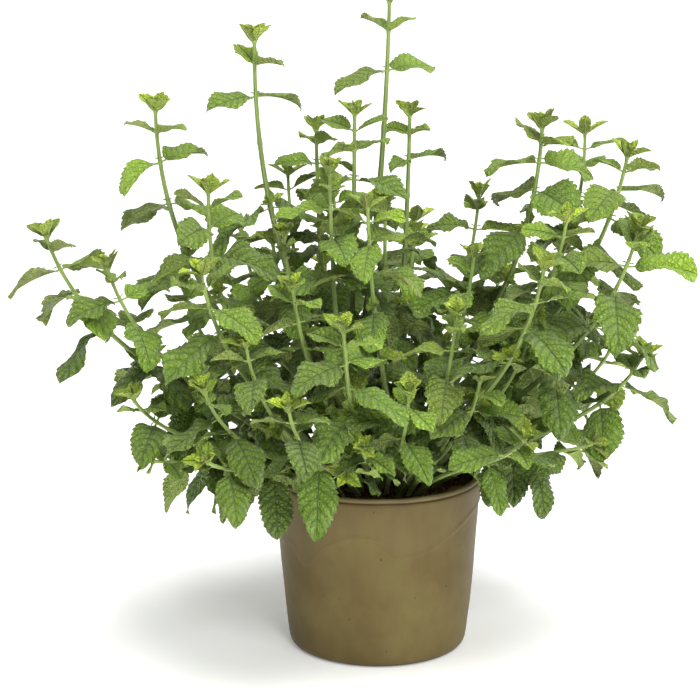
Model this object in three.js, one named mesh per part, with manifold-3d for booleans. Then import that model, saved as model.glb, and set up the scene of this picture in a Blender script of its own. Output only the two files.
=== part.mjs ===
// A mint plant growing in a round glazed pot: the pot, the potting soil in it, and one solid for
// each leafy shoot, rooted in the soil. Millimetres, +Z up. The origin is the middle of the pot's
// flat underside.
import * as THREE from "three";
import { mergeVertices } from "three/addons/utils/BufferGeometryUtils.js";
import Module from "manifold-3d";

const wasm = await Module();
wasm.setup();

// ---- Driving dimensions: pot and soil ------------------------------------------------------
const POT_HEIGHT = 120;
const RIM_RADIUS = 70;
const FOOT_RADIUS = 54; // the flat ring and middle that it stands on
const WALL = 4.6;
const POT_FLOOR = 7;
const POT_SIDES = 36; // facets around the pot
const DRAIN_RADIUS = 5;
const DRAIN_REACH = 27; // the drain holes lie on this circle, so the middle stays solid
const DRAINS = 3;
const GAP = 0.35; // air between pieces that touch
const SOIL_LEVEL = 112;
// Outer side of the pot as [radius, height], from above the rounded foot to below the lip.
const POT_SIDE = [[61, 7], [63.8, 28], [66.6, 58], [68.9, 92], [RIM_RADIUS, 113]];

// ---- Driving dimensions: shoots ------------------------------------------------------------
const STEM_ROOT = 12; // depth of a stem in the soil
const STEM_HALF_FOOT = 1.9; // half the width of the square stem in the soil
const STEM_HALF_TIP = 0.9; // and at its tip
const BUD_LENGTH = 6; // from the youngest pair of leaves to the very tip
const FIRST_INTERNODE = 9;
const INTERNODE_GROWTH = 1.45;
const LONGEST_INTERNODE = 1; // as a share of the longest leaf
const JOINT_HALF = 1.3; // half the height of the swollen joint that a pair of leaves leaves from
const STEM_SPACING = 5.6; // least distance between the middles of two stems
const ROOT_REACH = 44; // the stems stand inside this radius
const ROOT_STEP = 3; // how far apart the places tried for a root are
const ROOT_RINGS = 12;
const LEAF_THICKNESS = 1.3; // in the middle of the blade
const LARGE_LEAF = 40; // leaves longer than this get one more row of points
const PETIOLE = 0.1; // share of a leaf's length before the blade starts
const LEAF_CLEARANCE = 3.4; // least distance between the sampled points of two leaves
const STEM_CLEARANCE = 4.6; // and from a leaf to the middle of a stem
const RIM_CLEARANCE = 4; // and from a leaf or the middle of a stem to the pot's wall and the soil
const LOWEST_LEAF = 30;
const SAMPLE_STEP = 4.5; // between the points that stand for a leaf in these tests
const PATH_STEPS = 160;
const BARE_FOOT = 12; // least height of bare stem above the soil
// The soil is left open to the sky at the front, where water is poured on it.
const OPEN_SOIL = { fromX: 2, toX: 66, toY: -32, above: 3, rimY: -45, slope: 0.28 };
// A leaf that meets another is tried smaller, and at each size turned and lifted by these degrees.
const SIZES_TRIED = [1, 0.86, 0.72, 0.58];
const SWINGS_TRIED = [[0, 0], [14, 9], [-14, 9], [14, -12], [-14, -12], [0, 20], [0, -20], [28, 0],
  [-28, 0]];

// Each shoot by the place of its tip. pairs is how many pairs of leaves it carries, leaf is the
// length of its longest leaf, turn is the direction of its youngest pair in degrees, out is how
// far its upper bend lies out (1 is right under the tip), root is where it leaves the soil, gap
// stretches the lengths of stem between its pairs, and bare lists pairs that dropped their leaves.
const FRONT_SHOOTS = [
  { tip: [52, -62, 190], root: [30, -22], pairs: 4, leaf: 32, turn: 65 }, // small, over the open soil
  { tip: [7, 10, 442], root: [-20, 8], pairs: 8, leaf: 42, turn: 38, gap: 2, bare: [3] }, // tall middle
  { tip: [-81, -10, 418], pairs: 8, leaf: 43, turn: 40, out: 1.05, gap: 1.6, bare: [3] }, // tall left
  { tip: [-148, 10, 370], root: [-33, 1], pairs: 7, leaf: 43, turn: 50, out: 1, gap: 1.5 }, // mid left
  { tip: [-220, -20, 290], pairs: 8, leaf: 44, turn: 40 }, // far left
  { tip: [-177, -50, 275], pairs: 8, leaf: 40, turn: 20 }, // second left
  { tip: [-109, -60, 326], root: [-33, -18], pairs: 8, leaf: 42, turn: 70, out: 1.08 }, // left
  { tip: [-112, -110, 282], pairs: 8, leaf: 42, turn: 130 }, // left front rosette
  { tip: [-42, 40, 354], root: [-28, 15], pairs: 8, leaf: 36, turn: 30 }, // behind the middle
  { tip: [-16, -30, 372], root: [-20, -7], pairs: 8, leaf: 38, turn: 60 }, // before the tall middle
  { tip: [-32, -70, 340], root: [-17, -22], pairs: 8, leaf: 40, turn: 10 }, // middle rosette
  { tip: [-62, 60, 320], root: [-36, 33], pairs: 7, leaf: 38, turn: 100 }, // back left
  { tip: [21, 20, 366], root: [8, 12], pairs: 8, leaf: 36, turn: 42, gap: 1.3, bare: [3] }, // right of middle
  { tip: [-8, -80, 320], root: [16, -26], pairs: 8, leaf: 38, turn: 75 }, // front middle
  { tip: [4, -22, 312], root: [4, -10], pairs: 7, leaf: 36, turn: 15 }, // inside the middle
  { tip: [108, 0, 360], pairs: 9, leaf: 46, turn: 35, out: 0.95 }, // tall right
  { tip: [139, 30, 352], pairs: 8, leaf: 42, turn: 80, out: 1.05 }, // right
  { tip: [164, -10, 342], pairs: 8, leaf: 44, turn: 50 }, // far right
  { tip: [166, -60, 300], pairs: 8, leaf: 47, turn: 8 }, // far right, to the front
  { tip: [117, -90, 312], pairs: 8, leaf: 40, turn: 110 }, // right front, high
  { tip: [102, -110, 286], pairs: 8, leaf: 42, turn: 30 }, // right front rosette
  { tip: [63, -20, 277], pairs: 7, leaf: 34, turn: 60 }, // between the middle and the right
  { tip: [48, -90, 251], root: [26, -34], pairs: 7, leaf: 38, turn: 0 }, // front right of the middle
  { tip: [174, -40, 213], pairs: 7, leaf: 46, turn: 10 }, // low right, curving up
  { tip: [159, 60, 223], pairs: 7, leaf: 40, turn: 75 }, // low right, to the back
  { tip: [92, -120, 178], pairs: 7, leaf: 38, turn: 15 }, // low right front
  { tip: [142, -70, 160], pairs: 6, leaf: 34, turn: 60 }, // lowest right
  { tip: [-23, -130, 250], pairs: 7, leaf: 42, turn: 55 }, // bright front rosette
  { tip: [-57, -150, 205], pairs: 7, leaf: 38, turn: 85 }, // low front
  { tip: [-11, -120, 172], pairs: 6, leaf: 36, turn: 40 }, // low front rosette over the rim
  { tip: [-110, -130, 212], pairs: 7, leaf: 38, turn: 25 }, // left front, leaning
  { tip: [-161, -70, 192], pairs: 7, leaf: 38, turn: 50 }, // low left
  { tip: [-110, -140, 168], pairs: 6, leaf: 36, turn: 70 }, // low left front
  { tip: [-150, -88, 152], pairs: 6, leaf: 34, turn: 20 }, // lowest left
  { tip: [-84, -125, 240], pairs: 7, leaf: 38, turn: 95 }, // left front, mid height
  { tip: [-55, -105, 272], root: [-27, -37], pairs: 8, leaf: 38, turn: 40 }, // front left of the middle
  { tip: [-62, -55, 296], pairs: 7, leaf: 36, turn: 5 }, // inside left
  { tip: [-22, -100, 146], pairs: 4, leaf: 34, turn: 50 }, // hanging over the rim
  { tip: [98, -66, 238], pairs: 8, leaf: 36, turn: 80 }, // fills the right front
  { tip: [64, -98, 212], pairs: 7, leaf: 36, turn: 35 }, // fills the front right, lower
  { tip: [18, -118, 208], pairs: 7, leaf: 38, turn: 10 }, // fills the front, low
  { tip: [-88, -70, 140], pairs: 4, leaf: 32, turn: 35 }, // hanging left of the rim
];
// The far side is filled by rows of shoots, from high inside to low outside.
const BACK_ROWS = [
  { count: 4, reach: 82, height: 292, pairs: 8, leaf: 38, shift: 0.5 },
  { count: 6, reach: 146, height: 258, pairs: 8, leaf: 40, shift: 0.5 },
  { count: 6, reach: 172, height: 182, pairs: 7, leaf: 38, shift: 0.2 },
];
const BACK_START = 12; // degrees from +X
const BACK_SWEEP = 160;
const GOLDEN_ANGLE = 137.5;

// ---- Materials -----------------------------------------------------------------------------
const GLAZE = { color: 0x746746, roughness: 0.42, metalness: 0 };
const PEAT = { color: 0x33201a, roughness: 0.95, metalness: 0 };
const LEAF_GREEN = { color: 0x728446, roughness: 0.6, metalness: 0 };

// ---- Small helpers -------------------------------------------------------------------------
const vector = (x, y, z) => new THREE.Vector3(x, y, z);
const UP = vector(0, 0, 1);
const radians = (degrees) => (degrees * Math.PI) / 180;
const mix = (a, b, t) => a + (b - a) * t;

// Numbers from 0 to 1 that look random and are the same in every run.
function drawsFrom(seed) {
  let state = seed >>> 0;
  return () => {
    state = (state + 0x6d2b79f5) >>> 0;
    let t = Math.imul(state ^ (state >>> 15), state | 1);
    t ^= t + Math.imul(t ^ (t >>> 7), t | 61);
    return ((t ^ (t >>> 14)) >>> 0) / 4294967296;
  };
}

// A closed three.js geometry, or lists of points and triangles, as a solid for joining and cutting.
function solidFromGeometry(geometry) {
  const bare = geometry.clone();
  bare.deleteAttribute("normal");
  bare.deleteAttribute("uv");
  const merged = mergeVertices(bare, 1e-4);
  const vertProperties = new Float32Array(merged.attributes.position.array);
  const triVerts = new Uint32Array(merged.index.array);
  return new wasm.Manifold(new wasm.Mesh({ numProp: 3, vertProperties, triVerts }));
}

function geometryFromPoints(points, triangles) {
  const geometry = new THREE.BufferGeometry();
  const flat = points.flatMap((p) => [p.x, p.y, p.z]);
  geometry.setAttribute("position", new THREE.Float32BufferAttribute(flat, 3));
  geometry.setIndex(triangles);
  return geometry;
}

function geometryFromSolid(solid) {
  const mesh = solid.getMesh();
  const geometry = new THREE.BufferGeometry();
  geometry.setAttribute("position", new THREE.BufferAttribute(mesh.vertProperties, mesh.numProp));
  geometry.setIndex(new THREE.BufferAttribute(mesh.triVerts, 1));
  return geometry;
}

function pieceOf(name, geometry, look) {
  const mesh = new THREE.Mesh(geometry, new THREE.MeshStandardMaterial(look));
  mesh.name = name;
  return mesh;
}

// A profile of [radius, height] points turned about the Z axis.
function turned(profile) {
  const points = profile.map(([radius, height]) => new THREE.Vector2(radius, height));
  return new THREE.LatheGeometry(points, POT_SIDES).rotateX(Math.PI / 2);
}

// ---- Pot -----------------------------------------------------------------------------------
const POT_INSIDE = POT_SIDE.map(([radius, height]) => [radius - WALL, height]);
const INNER_FOOT = [POT_INSIDE[0][0] - 5, POT_FLOOR];

function makePot() {
  const lip = [
    [RIM_RADIUS, POT_HEIGHT - 2.5],
    [RIM_RADIUS - 1.3, POT_HEIGHT],
    [RIM_RADIUS - 3.4, POT_HEIGHT],
    [RIM_RADIUS - WALL, POT_HEIGHT - 2],
  ];
  const inside = POT_INSIDE.slice(1).reverse();
  const profile = [
    [0, 0],
    [FOOT_RADIUS, 0],
    [FOOT_RADIUS + 4.6, 1.8],
    ...POT_SIDE,
    ...lip,
    ...inside,
    [INNER_FOOT[0] + 4, POT_FLOOR + 6],
    INNER_FOOT,
    [0, POT_FLOOR],
  ];
  let pot = solidFromGeometry(turned(profile));
  for (let i = 0; i < DRAINS; i += 1) {
    const angle = radians((i * 360) / DRAINS + 30);
    const drain = new THREE.CylinderGeometry(DRAIN_RADIUS, DRAIN_RADIUS, POT_FLOOR * 4, 12);
    drain.rotateX(Math.PI / 2);
    drain.translate(DRAIN_REACH * Math.cos(angle), DRAIN_REACH * Math.sin(angle), 0);
    pot = pot.subtract(solidFromGeometry(drain));
  }
  return pot;
}

// ---- How a shoot grows ---------------------------------------------------------------------
function backShoots() {
  const shoots = [];
  for (const row of BACK_ROWS) {
    for (let i = 0; i < row.count; i += 1) {
      const angle = radians(BACK_START + ((i + row.shift) * BACK_SWEEP) / row.count);
      const height = row.height + (i % 2 === 0 ? 16 : -16);
      const tip = [row.reach * Math.cos(angle), row.reach * Math.sin(angle), height];
      const turn = shoots.length * GOLDEN_ANGLE;
      shoots.push({ tip, pairs: row.pairs, leaf: row.leaf, turn });
    }
  }
  return shoots;
}

// The places where a shoot may root, the natural one first: a shoot that reaches far or stays low
// roots further from the middle.
function rootChoices({ tip: [x, y, z], root }) {
  const share = mix(0.2, 0.12, (z - 140) / 300);
  const [rx, ry] = root ?? [x * share, y * share];
  const choices = [[rx, ry]];
  for (let ring = 1; ring <= ROOT_RINGS; ring += 1) {
    for (let i = 0; i < 8; i += 1) {
      const angle = radians(45 * (i + ring / 2));
      choices.push([rx + ROOT_STEP * ring * Math.cos(angle), ry + ROOT_STEP * ring * Math.sin(angle)]);
    }
  }
  return choices.filter(([cx, cy]) => Math.hypot(cx, cy) <= ROOT_REACH);
}

// The stem rises out of the soil, leans out over the rim and turns up again to its tip.
function stemPoint(shoot, t) {
  const [bx, by] = shoot.rootAt;
  const bz = SOIL_LEVEL - STEM_ROOT;
  const [dx, dy, dz] = [shoot.tip[0] - bx, shoot.tip[1] - by, shoot.tip[2] - bz];
  const out = shoot.out ?? 0.85;
  const rise = Math.max(0.3 * dz, 40);
  const controls = [
    [0, 0, 0],
    [0.1 * dx, 0.1 * dy, rise],
    [out * dx, out * dy, Math.max(0.45 * dz, Math.min(rise + 6, dz))],
    [dx, dy, dz],
  ];
  const s = 1 - t;
  const weights = [s * s * s, 3 * s * s * t, 3 * s * t * t, t * t * t];
  const at = vector(bx, by, bz);
  controls.forEach(([x, y, z], i) => at.add(vector(x, y, z).multiplyScalar(weights[i])));
  return at;
}

// The direction across a stem at an angle, square to the way the stem points.
function across(along, angle) {
  const k = 1 / (1 + along.z);
  const x = vector(1 - along.x * along.x * k, -along.x * along.y * k, -along.x);
  const y = vector(-along.x * along.y * k, 1 - along.y * along.y * k, -along.y);
  return x.multiplyScalar(Math.cos(angle)).add(y.multiplyScalar(Math.sin(angle)));
}

// Joints from the tip down: where each lies, which way the stem points there, and its pair of
// leaves, or -1 on the bare foot of the stem.
function growStem(shoot) {
  const path = [];
  for (let i = 0; i <= PATH_STEPS; i += 1) path.push(stemPoint(shoot, 1 - i / PATH_STEPS));
  const travelled = [0];
  for (let i = 1; i <= PATH_STEPS; i += 1) {
    travelled.push(travelled[i - 1] + path[i].distanceTo(path[i - 1]));
  }
  const whole = travelled[PATH_STEPS];
  const pointAt = (distance) => {
    const i = Math.min(PATH_STEPS, travelled.findIndex((d) => d >= distance));
    const share = (distance - travelled[i - 1]) / (travelled[i] - travelled[i - 1]);
    return path[i - 1].clone().lerp(path[i], share);
  };
  const joints = [];
  let distance = BUD_LENGTH;
  for (let pair = 0; distance < whole - STEM_ROOT - BARE_FOOT; pair += 1) {
    const at = pointAt(distance);
    const along = pointAt(distance - 2).sub(pointAt(distance + 2)).normalize();
    const bears = pair < shoot.pairs && !(shoot.bare ?? []).includes(pair);
    joints.push({ at, along, distance, pair: bears ? pair : -1 });
    const internode = Math.min(LONGEST_INTERNODE * shoot.leaf, FIRST_INTERNODE * INTERNODE_GROWTH ** pair);
    distance += internode * (shoot.gap ?? 1);
  }
  return { joints, whole, path, travelled };
}

function stemHalf(distance, whole) {
  return mix(STEM_HALF_TIP, STEM_HALF_FOOT, Math.min(1, distance / 200) * Math.min(1, whole / 200));
}

// Half the width of a blade at t along the leaf, as a share of its greatest half width.
function bladeHalf(t) {
  const u = Math.min(1, Math.max(0, (t - PETIOLE) / (1 - PETIOLE)));
  return Math.sin(Math.PI * u ** 0.75) ** 0.85;
}

// Young leaves stand up around the tip, and older ones are longer, wider and hang more.
function leafPlan(shoot, joint, side, draw) {
  const { pair } = joint;
  const jitter = (size) => (draw() * 2 - 1) * size;
  return {
    angle: shoot.turn + 90 * pair + 180 * side + jitter(10),
    lift: 80 * 0.55 ** pair - 20 - 14 * mix(1, 0, Math.min(1, (joint.at.z - 120) / 120)) + jitter(10),
    roll: jitter(26),
    length: shoot.leaf * Math.min(1, 0.36 + 0.3 * pair) * (1 + jitter(0.1)),
    slimness: Math.min(0.72, 0.54 + 0.03 * pair) * (1 + jitter(0.06)),
    sag: 0.14 + 0.05 * Math.min(pair, 5) + jitter(0.07),
  };
}

function placeLeaf(shoot, joint, plan, turn, lift, size) {
  const angle = radians(plan.angle + turn);
  const rise = radians(plan.lift + lift);
  const square = across(joint.along, angle);
  const level = square.clone();
  level.z *= 0.4;
  level.normalize();
  const along = level.multiplyScalar(Math.cos(rise)).addScaledVector(UP, Math.sin(rise)).normalize();
  const normal = UP.clone().addScaledVector(along, -along.z).normalize();
  const side = normal.clone().cross(along);
  const roll = radians(plan.roll);
  const right = side.clone().multiplyScalar(Math.cos(roll)).addScaledVector(normal, Math.sin(roll));
  const face = normal.multiplyScalar(Math.cos(roll)).addScaledVector(side, -Math.sin(roll));
  const length = plan.length * size;
  const start = joint.at.clone().addScaledVector(square, joint.half);
  return { start, along, right, face, length, width: length * plan.slimness, sag: plan.sag };
}

// The midrib leaves the stem straight and sags like a thrown ball's path.
function midrib(leaf, t) {
  const at = leaf.start.clone().addScaledVector(leaf.along, leaf.length * t);
  return at.addScaledVector(UP, -leaf.sag * leaf.length * t * t);
}

function leafSamples(leaf) {
  const samples = [];
  const rows = Math.max(3, Math.round((leaf.length * 0.8) / SAMPLE_STEP));
  for (let row = 0; row <= rows; row += 1) {
    const t = 0.22 + (0.78 * row) / rows;
    const half = (bladeHalf(t) * leaf.width) / 2;
    const columns = Math.max(1, Math.round((half * 2) / SAMPLE_STEP));
    for (let column = 0; column <= columns; column += 1) {
      const offset = half * ((2 * column) / columns - 1);
      samples.push(midrib(leaf, t).addScaledVector(leaf.right, offset));
    }
  }
  return samples;
}

// Too near the pot's wall and rim for a stem.
function isAtRim(p) {
  return Math.hypot(p.x, p.y) > RIM_RADIUS - WALL - RIM_CLEARANCE && p.z < POT_HEIGHT + RIM_CLEARANCE;
}

// The pot's wall and rim, the soil and the open patch of soil at the front are kept clear.
function isKeptClear(p) {
  const r = Math.hypot(p.x, p.y);
  const wallStart = POT_SIDE[0][0];
  const atWall = r > wallStart && r < RIM_RADIUS + RIM_CLEARANCE && p.z < POT_HEIGHT + RIM_CLEARANCE;
  const inSoil = r <= wallStart && p.z < SOIL_LEVEL + RIM_CLEARANCE;
  const { fromX, toX, toY, above, rimY, slope } = OPEN_SOIL;
  const openTop = POT_HEIGHT + above + slope * Math.max(0, rimY - p.y);
  const overSoil = p.x > fromX && p.x < toX && p.y < toY && p.z < openTop;
  return atWall || inSoil || overSoil || p.z < LOWEST_LEAF;
}

// Points already taken, kept in cells so that only near ones are compared.
class Crowd {
  constructor(cell) {
    this.cell = cell;
    this.cells = new Map();
  }

  key(p, i = 0, j = 0, k = 0) {
    const place = (value, step) => Math.floor(value / this.cell) + step + 500;
    return (place(p.x, i) * 1000 + place(p.y, j)) * 1000 + place(p.z, k);
  }

  add(p, owner) {
    const key = this.key(p);
    if (!this.cells.has(key)) this.cells.set(key, []);
    this.cells.get(key).push([p, owner]);
  }

  isNear(p, skipped) {
    for (let i = -1; i <= 1; i += 1) {
      for (let j = -1; j <= 1; j += 1) {
        for (let k = -1; k <= 1; k += 1) {
          for (const [other, owner] of this.cells.get(this.key(p, i, j, k)) ?? []) {
            if (owner !== skipped && other.distanceTo(p) < this.cell) return true;
          }
        }
      }
    }
    return false;
  }
}

// Tries a leaf as planned, then turned, raised or lowered, then smaller, and returns the first
// that is clear of everything grown before it.
function fitLeaf(shoot, joint, plan, leaves, stems) {
  const young = joint.pair < 2;
  for (const size of SIZES_TRIED) {
    for (const [turn, lift] of SWINGS_TRIED) {
      const leaf = placeLeaf(shoot, joint, plan, turn, lift, size);
      const owner = young ? shoot.number : -1;
      const taken = leafSamples(leaf).some(
        (p) => isKeptClear(p) || leaves.isNear(p, owner) || stems.isNear(p, shoot.number),
      );
      if (!taken) return leaf;
    }
  }
  return null;
}

// Every stem keeps its tip and takes the first root from which it passes the stems before it.
function growStems(shoots) {
  const spaced = new Crowd(STEM_SPACING);
  shoots.forEach((shoot, number) => {
    shoot.number = number;
    for (const root of rootChoices(shoot)) {
      shoot.rootAt = root;
      Object.assign(shoot, growStem(shoot));
      const meets = (p) => spaced.isNear(p, number) || isAtRim(p);
      if (!shoot.path.some(meets)) break;
    }
    for (const joint of shoot.joints) joint.half = stemHalf(joint.distance, shoot.whole);
    for (const p of shoot.path) spaced.add(p, number);
  });
}

function growPlant() {
  const shoots = [...FRONT_SHOOTS, ...backShoots()].map((shoot) => ({ ...shoot }));
  growStems(shoots);
  const stems = new Crowd(STEM_CLEARANCE);
  for (const shoot of shoots) for (const p of shoot.path) stems.add(p, shoot.number);
  const leaves = new Crowd(LEAF_CLEARANCE);
  for (const shoot of shoots) {
    const draw = drawsFrom(1000 + shoot.number);
    for (const joint of shoot.joints.filter(({ pair }) => pair >= 0)) {
      joint.leaves = [0, 1].map((side) => {
        const plan = leafPlan(shoot, joint, side, draw);
        const leaf = fitLeaf(shoot, joint, plan, leaves, stems);
        if (leaf) for (const p of leafSamples(leaf)) leaves.add(p, shoot.number);
        return leaf;
      });
    }
  }
  return shoots;
}

// ---- Solids of a shoot ---------------------------------------------------------------------
// Four corners of the square stem around a point, a flat side facing the turn direction.
function stemRing(shoot, at, along, half) {
  return [0, 1, 2, 3].map((i) => {
    const angle = radians(shoot.turn + 45 + 90 * i);
    return at.clone().addScaledVector(across(along, angle), half * Math.SQRT2);
  });
}

// Rows of four points around a leaf, from its widest part on, and its tip.
function leafRows(leaf) {
  const large = leaf.length > LARGE_LEAF;
  const places = large ? [0.38, 0.74] : [0.48];
  const rows = places.map((t) => {
    const middle = midrib(leaf, t);
    const half = (bladeHalf(t) * leaf.width) / 2;
    return [
      middle.clone().addScaledVector(leaf.face, -LEAF_THICKNESS / 2),
      middle.clone().addScaledVector(leaf.right, half),
      middle.clone().addScaledVector(leaf.face, LEAF_THICKNESS / 2),
      middle.clone().addScaledVector(leaf.right, -half),
    ];
  });
  return { rows, tip: midrib(leaf, 1) };
}

// Collects points and triangles of one closed surface.
class Skin {
  constructor() {
    this.points = [];
    this.triangles = [];
  }

  add(points) {
    const first = this.points.length;
    this.points.push(...points);
    return points.map((_, i) => first + i);
  }

  face(...corners) {
    for (let i = 2; i < corners.length; i += 1) {
      this.triangles.push(corners[0], corners[i - 1], corners[i]);
    }
  }

  // A leaf grown out of four corners: bottom left, bottom right, top right and top left.
  leaf(foot, leaf) {
    const { rows, tip } = leafRows(leaf);
    let last = this.add(rows[0]);
    for (let i = 0; i < 4; i += 1) {
      const next = (i + 1) % 4;
      this.face(foot[i], foot[next], last[i]);
      this.face(last[i], foot[next], last[next]);
    }
    for (const row of rows.slice(1)) {
      const now = this.add(row);
      for (let i = 0; i < 4; i += 1) {
        const next = (i + 1) % 4;
        this.face(last[i], last[next], now[i]);
        this.face(now[i], last[next], now[next]);
      }
      last = now;
    }
    const [end] = this.add([tip]);
    for (let i = 0; i < 4; i += 1) this.face(last[i], last[(i + 1) % 4], end);
  }
}

// The square stem from its foot in the soil to its bud, with its leaves growing out of its sides.
// isKept says which leaves are wanted, and wider makes the stem thicker on every side.
function shootSkin(shoot, isKept, wider = 0) {
  const skin = new Skin();
  const foot = shoot.path[shoot.path.length - 1];
  const aboveFoot = shoot.path[shoot.path.length - 8];
  const rise = aboveFoot.clone().sub(foot).normalize();
  const footHalf = stemHalf(shoot.whole, shoot.whole) + wider;
  let below = skin.add(stemRing(shoot, foot, rise, footHalf));
  skin.face(...[...below].reverse());
  const side = (low, high, i) => {
    const before = (i + 3) % 4;
    skin.face(low[before], low[i], high[i], high[before]);
  };
  for (const joint of [...shoot.joints].reverse()) {
    const half = joint.half + wider;
    const ring = (offset) => {
      const at = joint.at.clone().addScaledVector(joint.along, offset);
      return skin.add(stemRing(shoot, at, joint.along, half));
    };
    const low = ring(joint.pair < 0 ? 0 : -JOINT_HALF);
    for (let i = 0; i < 4; i += 1) side(below, low, i);
    below = low;
    if (joint.pair < 0) continue;
    const high = ring(JOINT_HALF);
    for (let i = 0; i < 4; i += 1) {
      const leaf = (i - joint.pair) % 2 === 0 ? joint.leaves[leafOfSide(joint, i)] : null;
      const before = (i + 3) % 4;
      if (leaf && isKept(leaf)) skin.leaf([low[before], low[i], high[i], high[before]], leaf);
      else side(low, high, i);
    }
    below = high;
  }
  const [bud] = skin.add([shoot.path[0]]);
  for (let i = 0; i < 4; i += 1) skin.face(below[(i + 3) % 4], below[i], bud);
  return skin;
}

// Side i of the stem faces turn + 90 i degrees, and leaf 0 of a pair grows at turn + 90 pair.
function leafOfSide(joint, i) {
  return (((i - joint.pair) % 4) + 4) % 4 === 0 ? 0 : 1;
}

function solidFromSkin({ points, triangles }) {
  return solidFromGeometry(geometryFromPoints(points, triangles));
}

// One leaf alone, closed at its foot, to test it against its neighbours.
function leafSolid(shoot, joint, side, leaf) {
  const skin = new Skin();
  const i = (joint.pair + 2 * side) % 4;
  const low = joint.at.clone().addScaledVector(joint.along, -JOINT_HALF);
  const high = joint.at.clone().addScaledVector(joint.along, JOINT_HALF);
  const lowRing = stemRing(shoot, low, joint.along, joint.half);
  const highRing = stemRing(shoot, high, joint.along, joint.half);
  const before = (i + 3) % 4;
  const foot = skin.add([lowRing[before], lowRing[i], highRing[i], highRing[before]]);
  skin.face(...[...foot].reverse());
  skin.leaf(foot, leaf);
  return solidFromSkin(skin);
}

function boxesMeet(a, b) {
  return [0, 1, 2].every((i) => a.min[i] <= b.max[i] && b.min[i] <= a.max[i]);
}

// Keeps the leaves whose solids are clear of every stem and of every leaf kept before, making a
// leaf smaller where that helps.
function clearLeaves(shoots, placed) {
  const kept = new Set();
  const isClear = (solid) => {
    const box = solid.boundingBox();
    return placed.every(
      (other) => !boxesMeet(box, other.box) || solid.intersect(other.solid).volume() < 1e-4,
    );
  };
  for (const shoot of shoots) {
    for (const joint of shoot.joints.filter(({ pair }) => pair >= 0)) {
      joint.leaves.forEach((leaf, side) => {
        if (!leaf) return;
        for (const size of [1, 0.8, 0.8]) {
          leaf.length *= size;
          leaf.width *= size;
          const solid = leafSolid(shoot, joint, side, leaf);
          if (!isClear(solid)) continue;
          placed.push({ solid, box: solid.boundingBox() });
          kept.add(leaf);
          return;
        }
      });
    }
  }
  return kept;
}

// ---- The whole plant in its pot ------------------------------------------------------------
const shoots = growPlant();
const stemSolids = shoots.map((shoot) => solidFromSkin(shootSkin(shoot, () => false)));
const placed = stemSolids.map((solid) => ({ solid, box: solid.boundingBox() }));
const pot = makePot();
placed.push({ solid: pot, box: pot.boundingBox() });
const keptLeaves = clearLeaves(shoots, placed);

function makeSoil() {
  const edge = POT_INSIDE[POT_INSIDE.length - 2][0] - GAP;
  const wall = POT_INSIDE.slice(1, -1).map(([radius, height]) => [radius - GAP, height]);
  const profile = [
    [0, POT_FLOOR + GAP],
    [INNER_FOOT[0] - GAP, POT_FLOOR + GAP],
    [INNER_FOOT[0] + 4 - GAP, POT_FLOOR + 6],
    ...wall,
    [edge, SOIL_LEVEL],
    [0, SOIL_LEVEL],
  ];
  let soil = solidFromGeometry(turned(profile));
  for (const shoot of shoots) {
    const wide = solidFromSkin(shootSkin(shoot, () => false, GAP));
    soil = soil.subtract(wide);
  }
  return soil;
}

const plant = new THREE.Group();
plant.add(pieceOf("pot", geometryFromSolid(pot), GLAZE));
plant.add(pieceOf("potting_soil", geometryFromSolid(makeSoil()), PEAT));
shoots.forEach((shoot, number) => {
  const { points, triangles } = shootSkin(shoot, (leaf) => keptLeaves.has(leaf));
  const name = `shoot_${String(number + 1).padStart(2, "0")}`;
  plant.add(pieceOf(name, geometryFromPoints(points, triangles), LEAF_GREEN));
});

export default plant;
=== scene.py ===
# %% [markdown]
# # A bushy mint in a glazed pot
#
# The CAD model of this object is plain: a faceted pot, a block of soil and one solid for each shoot,
# with flat-faced leaves. This lesson builds the real surfaces around it. The pot gets its glaze,
# the soil its crumbs and fibres, and every shoot its square stem and its toothed, puckered leaves.
# The CAD model says where everything is and how big it is, so it is loaded first and never changed.

# %% Load the frame
import math
from functools import partial
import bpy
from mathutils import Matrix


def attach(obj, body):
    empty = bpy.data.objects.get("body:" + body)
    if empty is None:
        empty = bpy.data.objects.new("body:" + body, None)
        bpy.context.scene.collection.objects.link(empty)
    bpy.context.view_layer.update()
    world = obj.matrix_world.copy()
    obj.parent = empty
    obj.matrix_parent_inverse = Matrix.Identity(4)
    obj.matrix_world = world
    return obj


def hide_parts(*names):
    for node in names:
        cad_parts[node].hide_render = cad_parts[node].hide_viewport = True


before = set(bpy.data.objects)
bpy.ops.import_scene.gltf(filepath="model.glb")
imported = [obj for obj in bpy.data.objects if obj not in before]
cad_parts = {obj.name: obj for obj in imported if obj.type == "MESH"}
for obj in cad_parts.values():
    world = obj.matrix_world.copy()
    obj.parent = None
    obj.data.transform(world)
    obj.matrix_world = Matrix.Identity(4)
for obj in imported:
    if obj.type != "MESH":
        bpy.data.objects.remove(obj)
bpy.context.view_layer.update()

from types import SimpleNamespace as Namespace

import bpy
import numpy as np
from mathutils import Vector, noise

# %% [markdown]
# ## Units, colours and nodes
#
# Plants are easier to think about in millimetres, so every size below is in millimetres and is
# turned into Blender's metres when a mesh is made. Colours are written as the sRGB hex values that
# a colour picker shows. Shaders need linear light, so one function converts them. A second one adds
# a shader node with its settings and its links, which keeps each material short enough to read. It
# returns the one output that is wanted next, or all of them where a vector is taken apart.

# %% Units, colours and nodes
MM = 0.001


def linear(hex_colour):
    """An sRGB hex colour as the linear red, green, blue and alpha that shaders use."""
    channels = [int(hex_colour[i:i + 2], 16) / 255 for i in (1, 3, 5)]
    curve = [c / 12.92 if c <= 0.04045 else ((c + 0.055) / 1.055) ** 2.4 for c in channels]
    return (*curve, 1.0)


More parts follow.
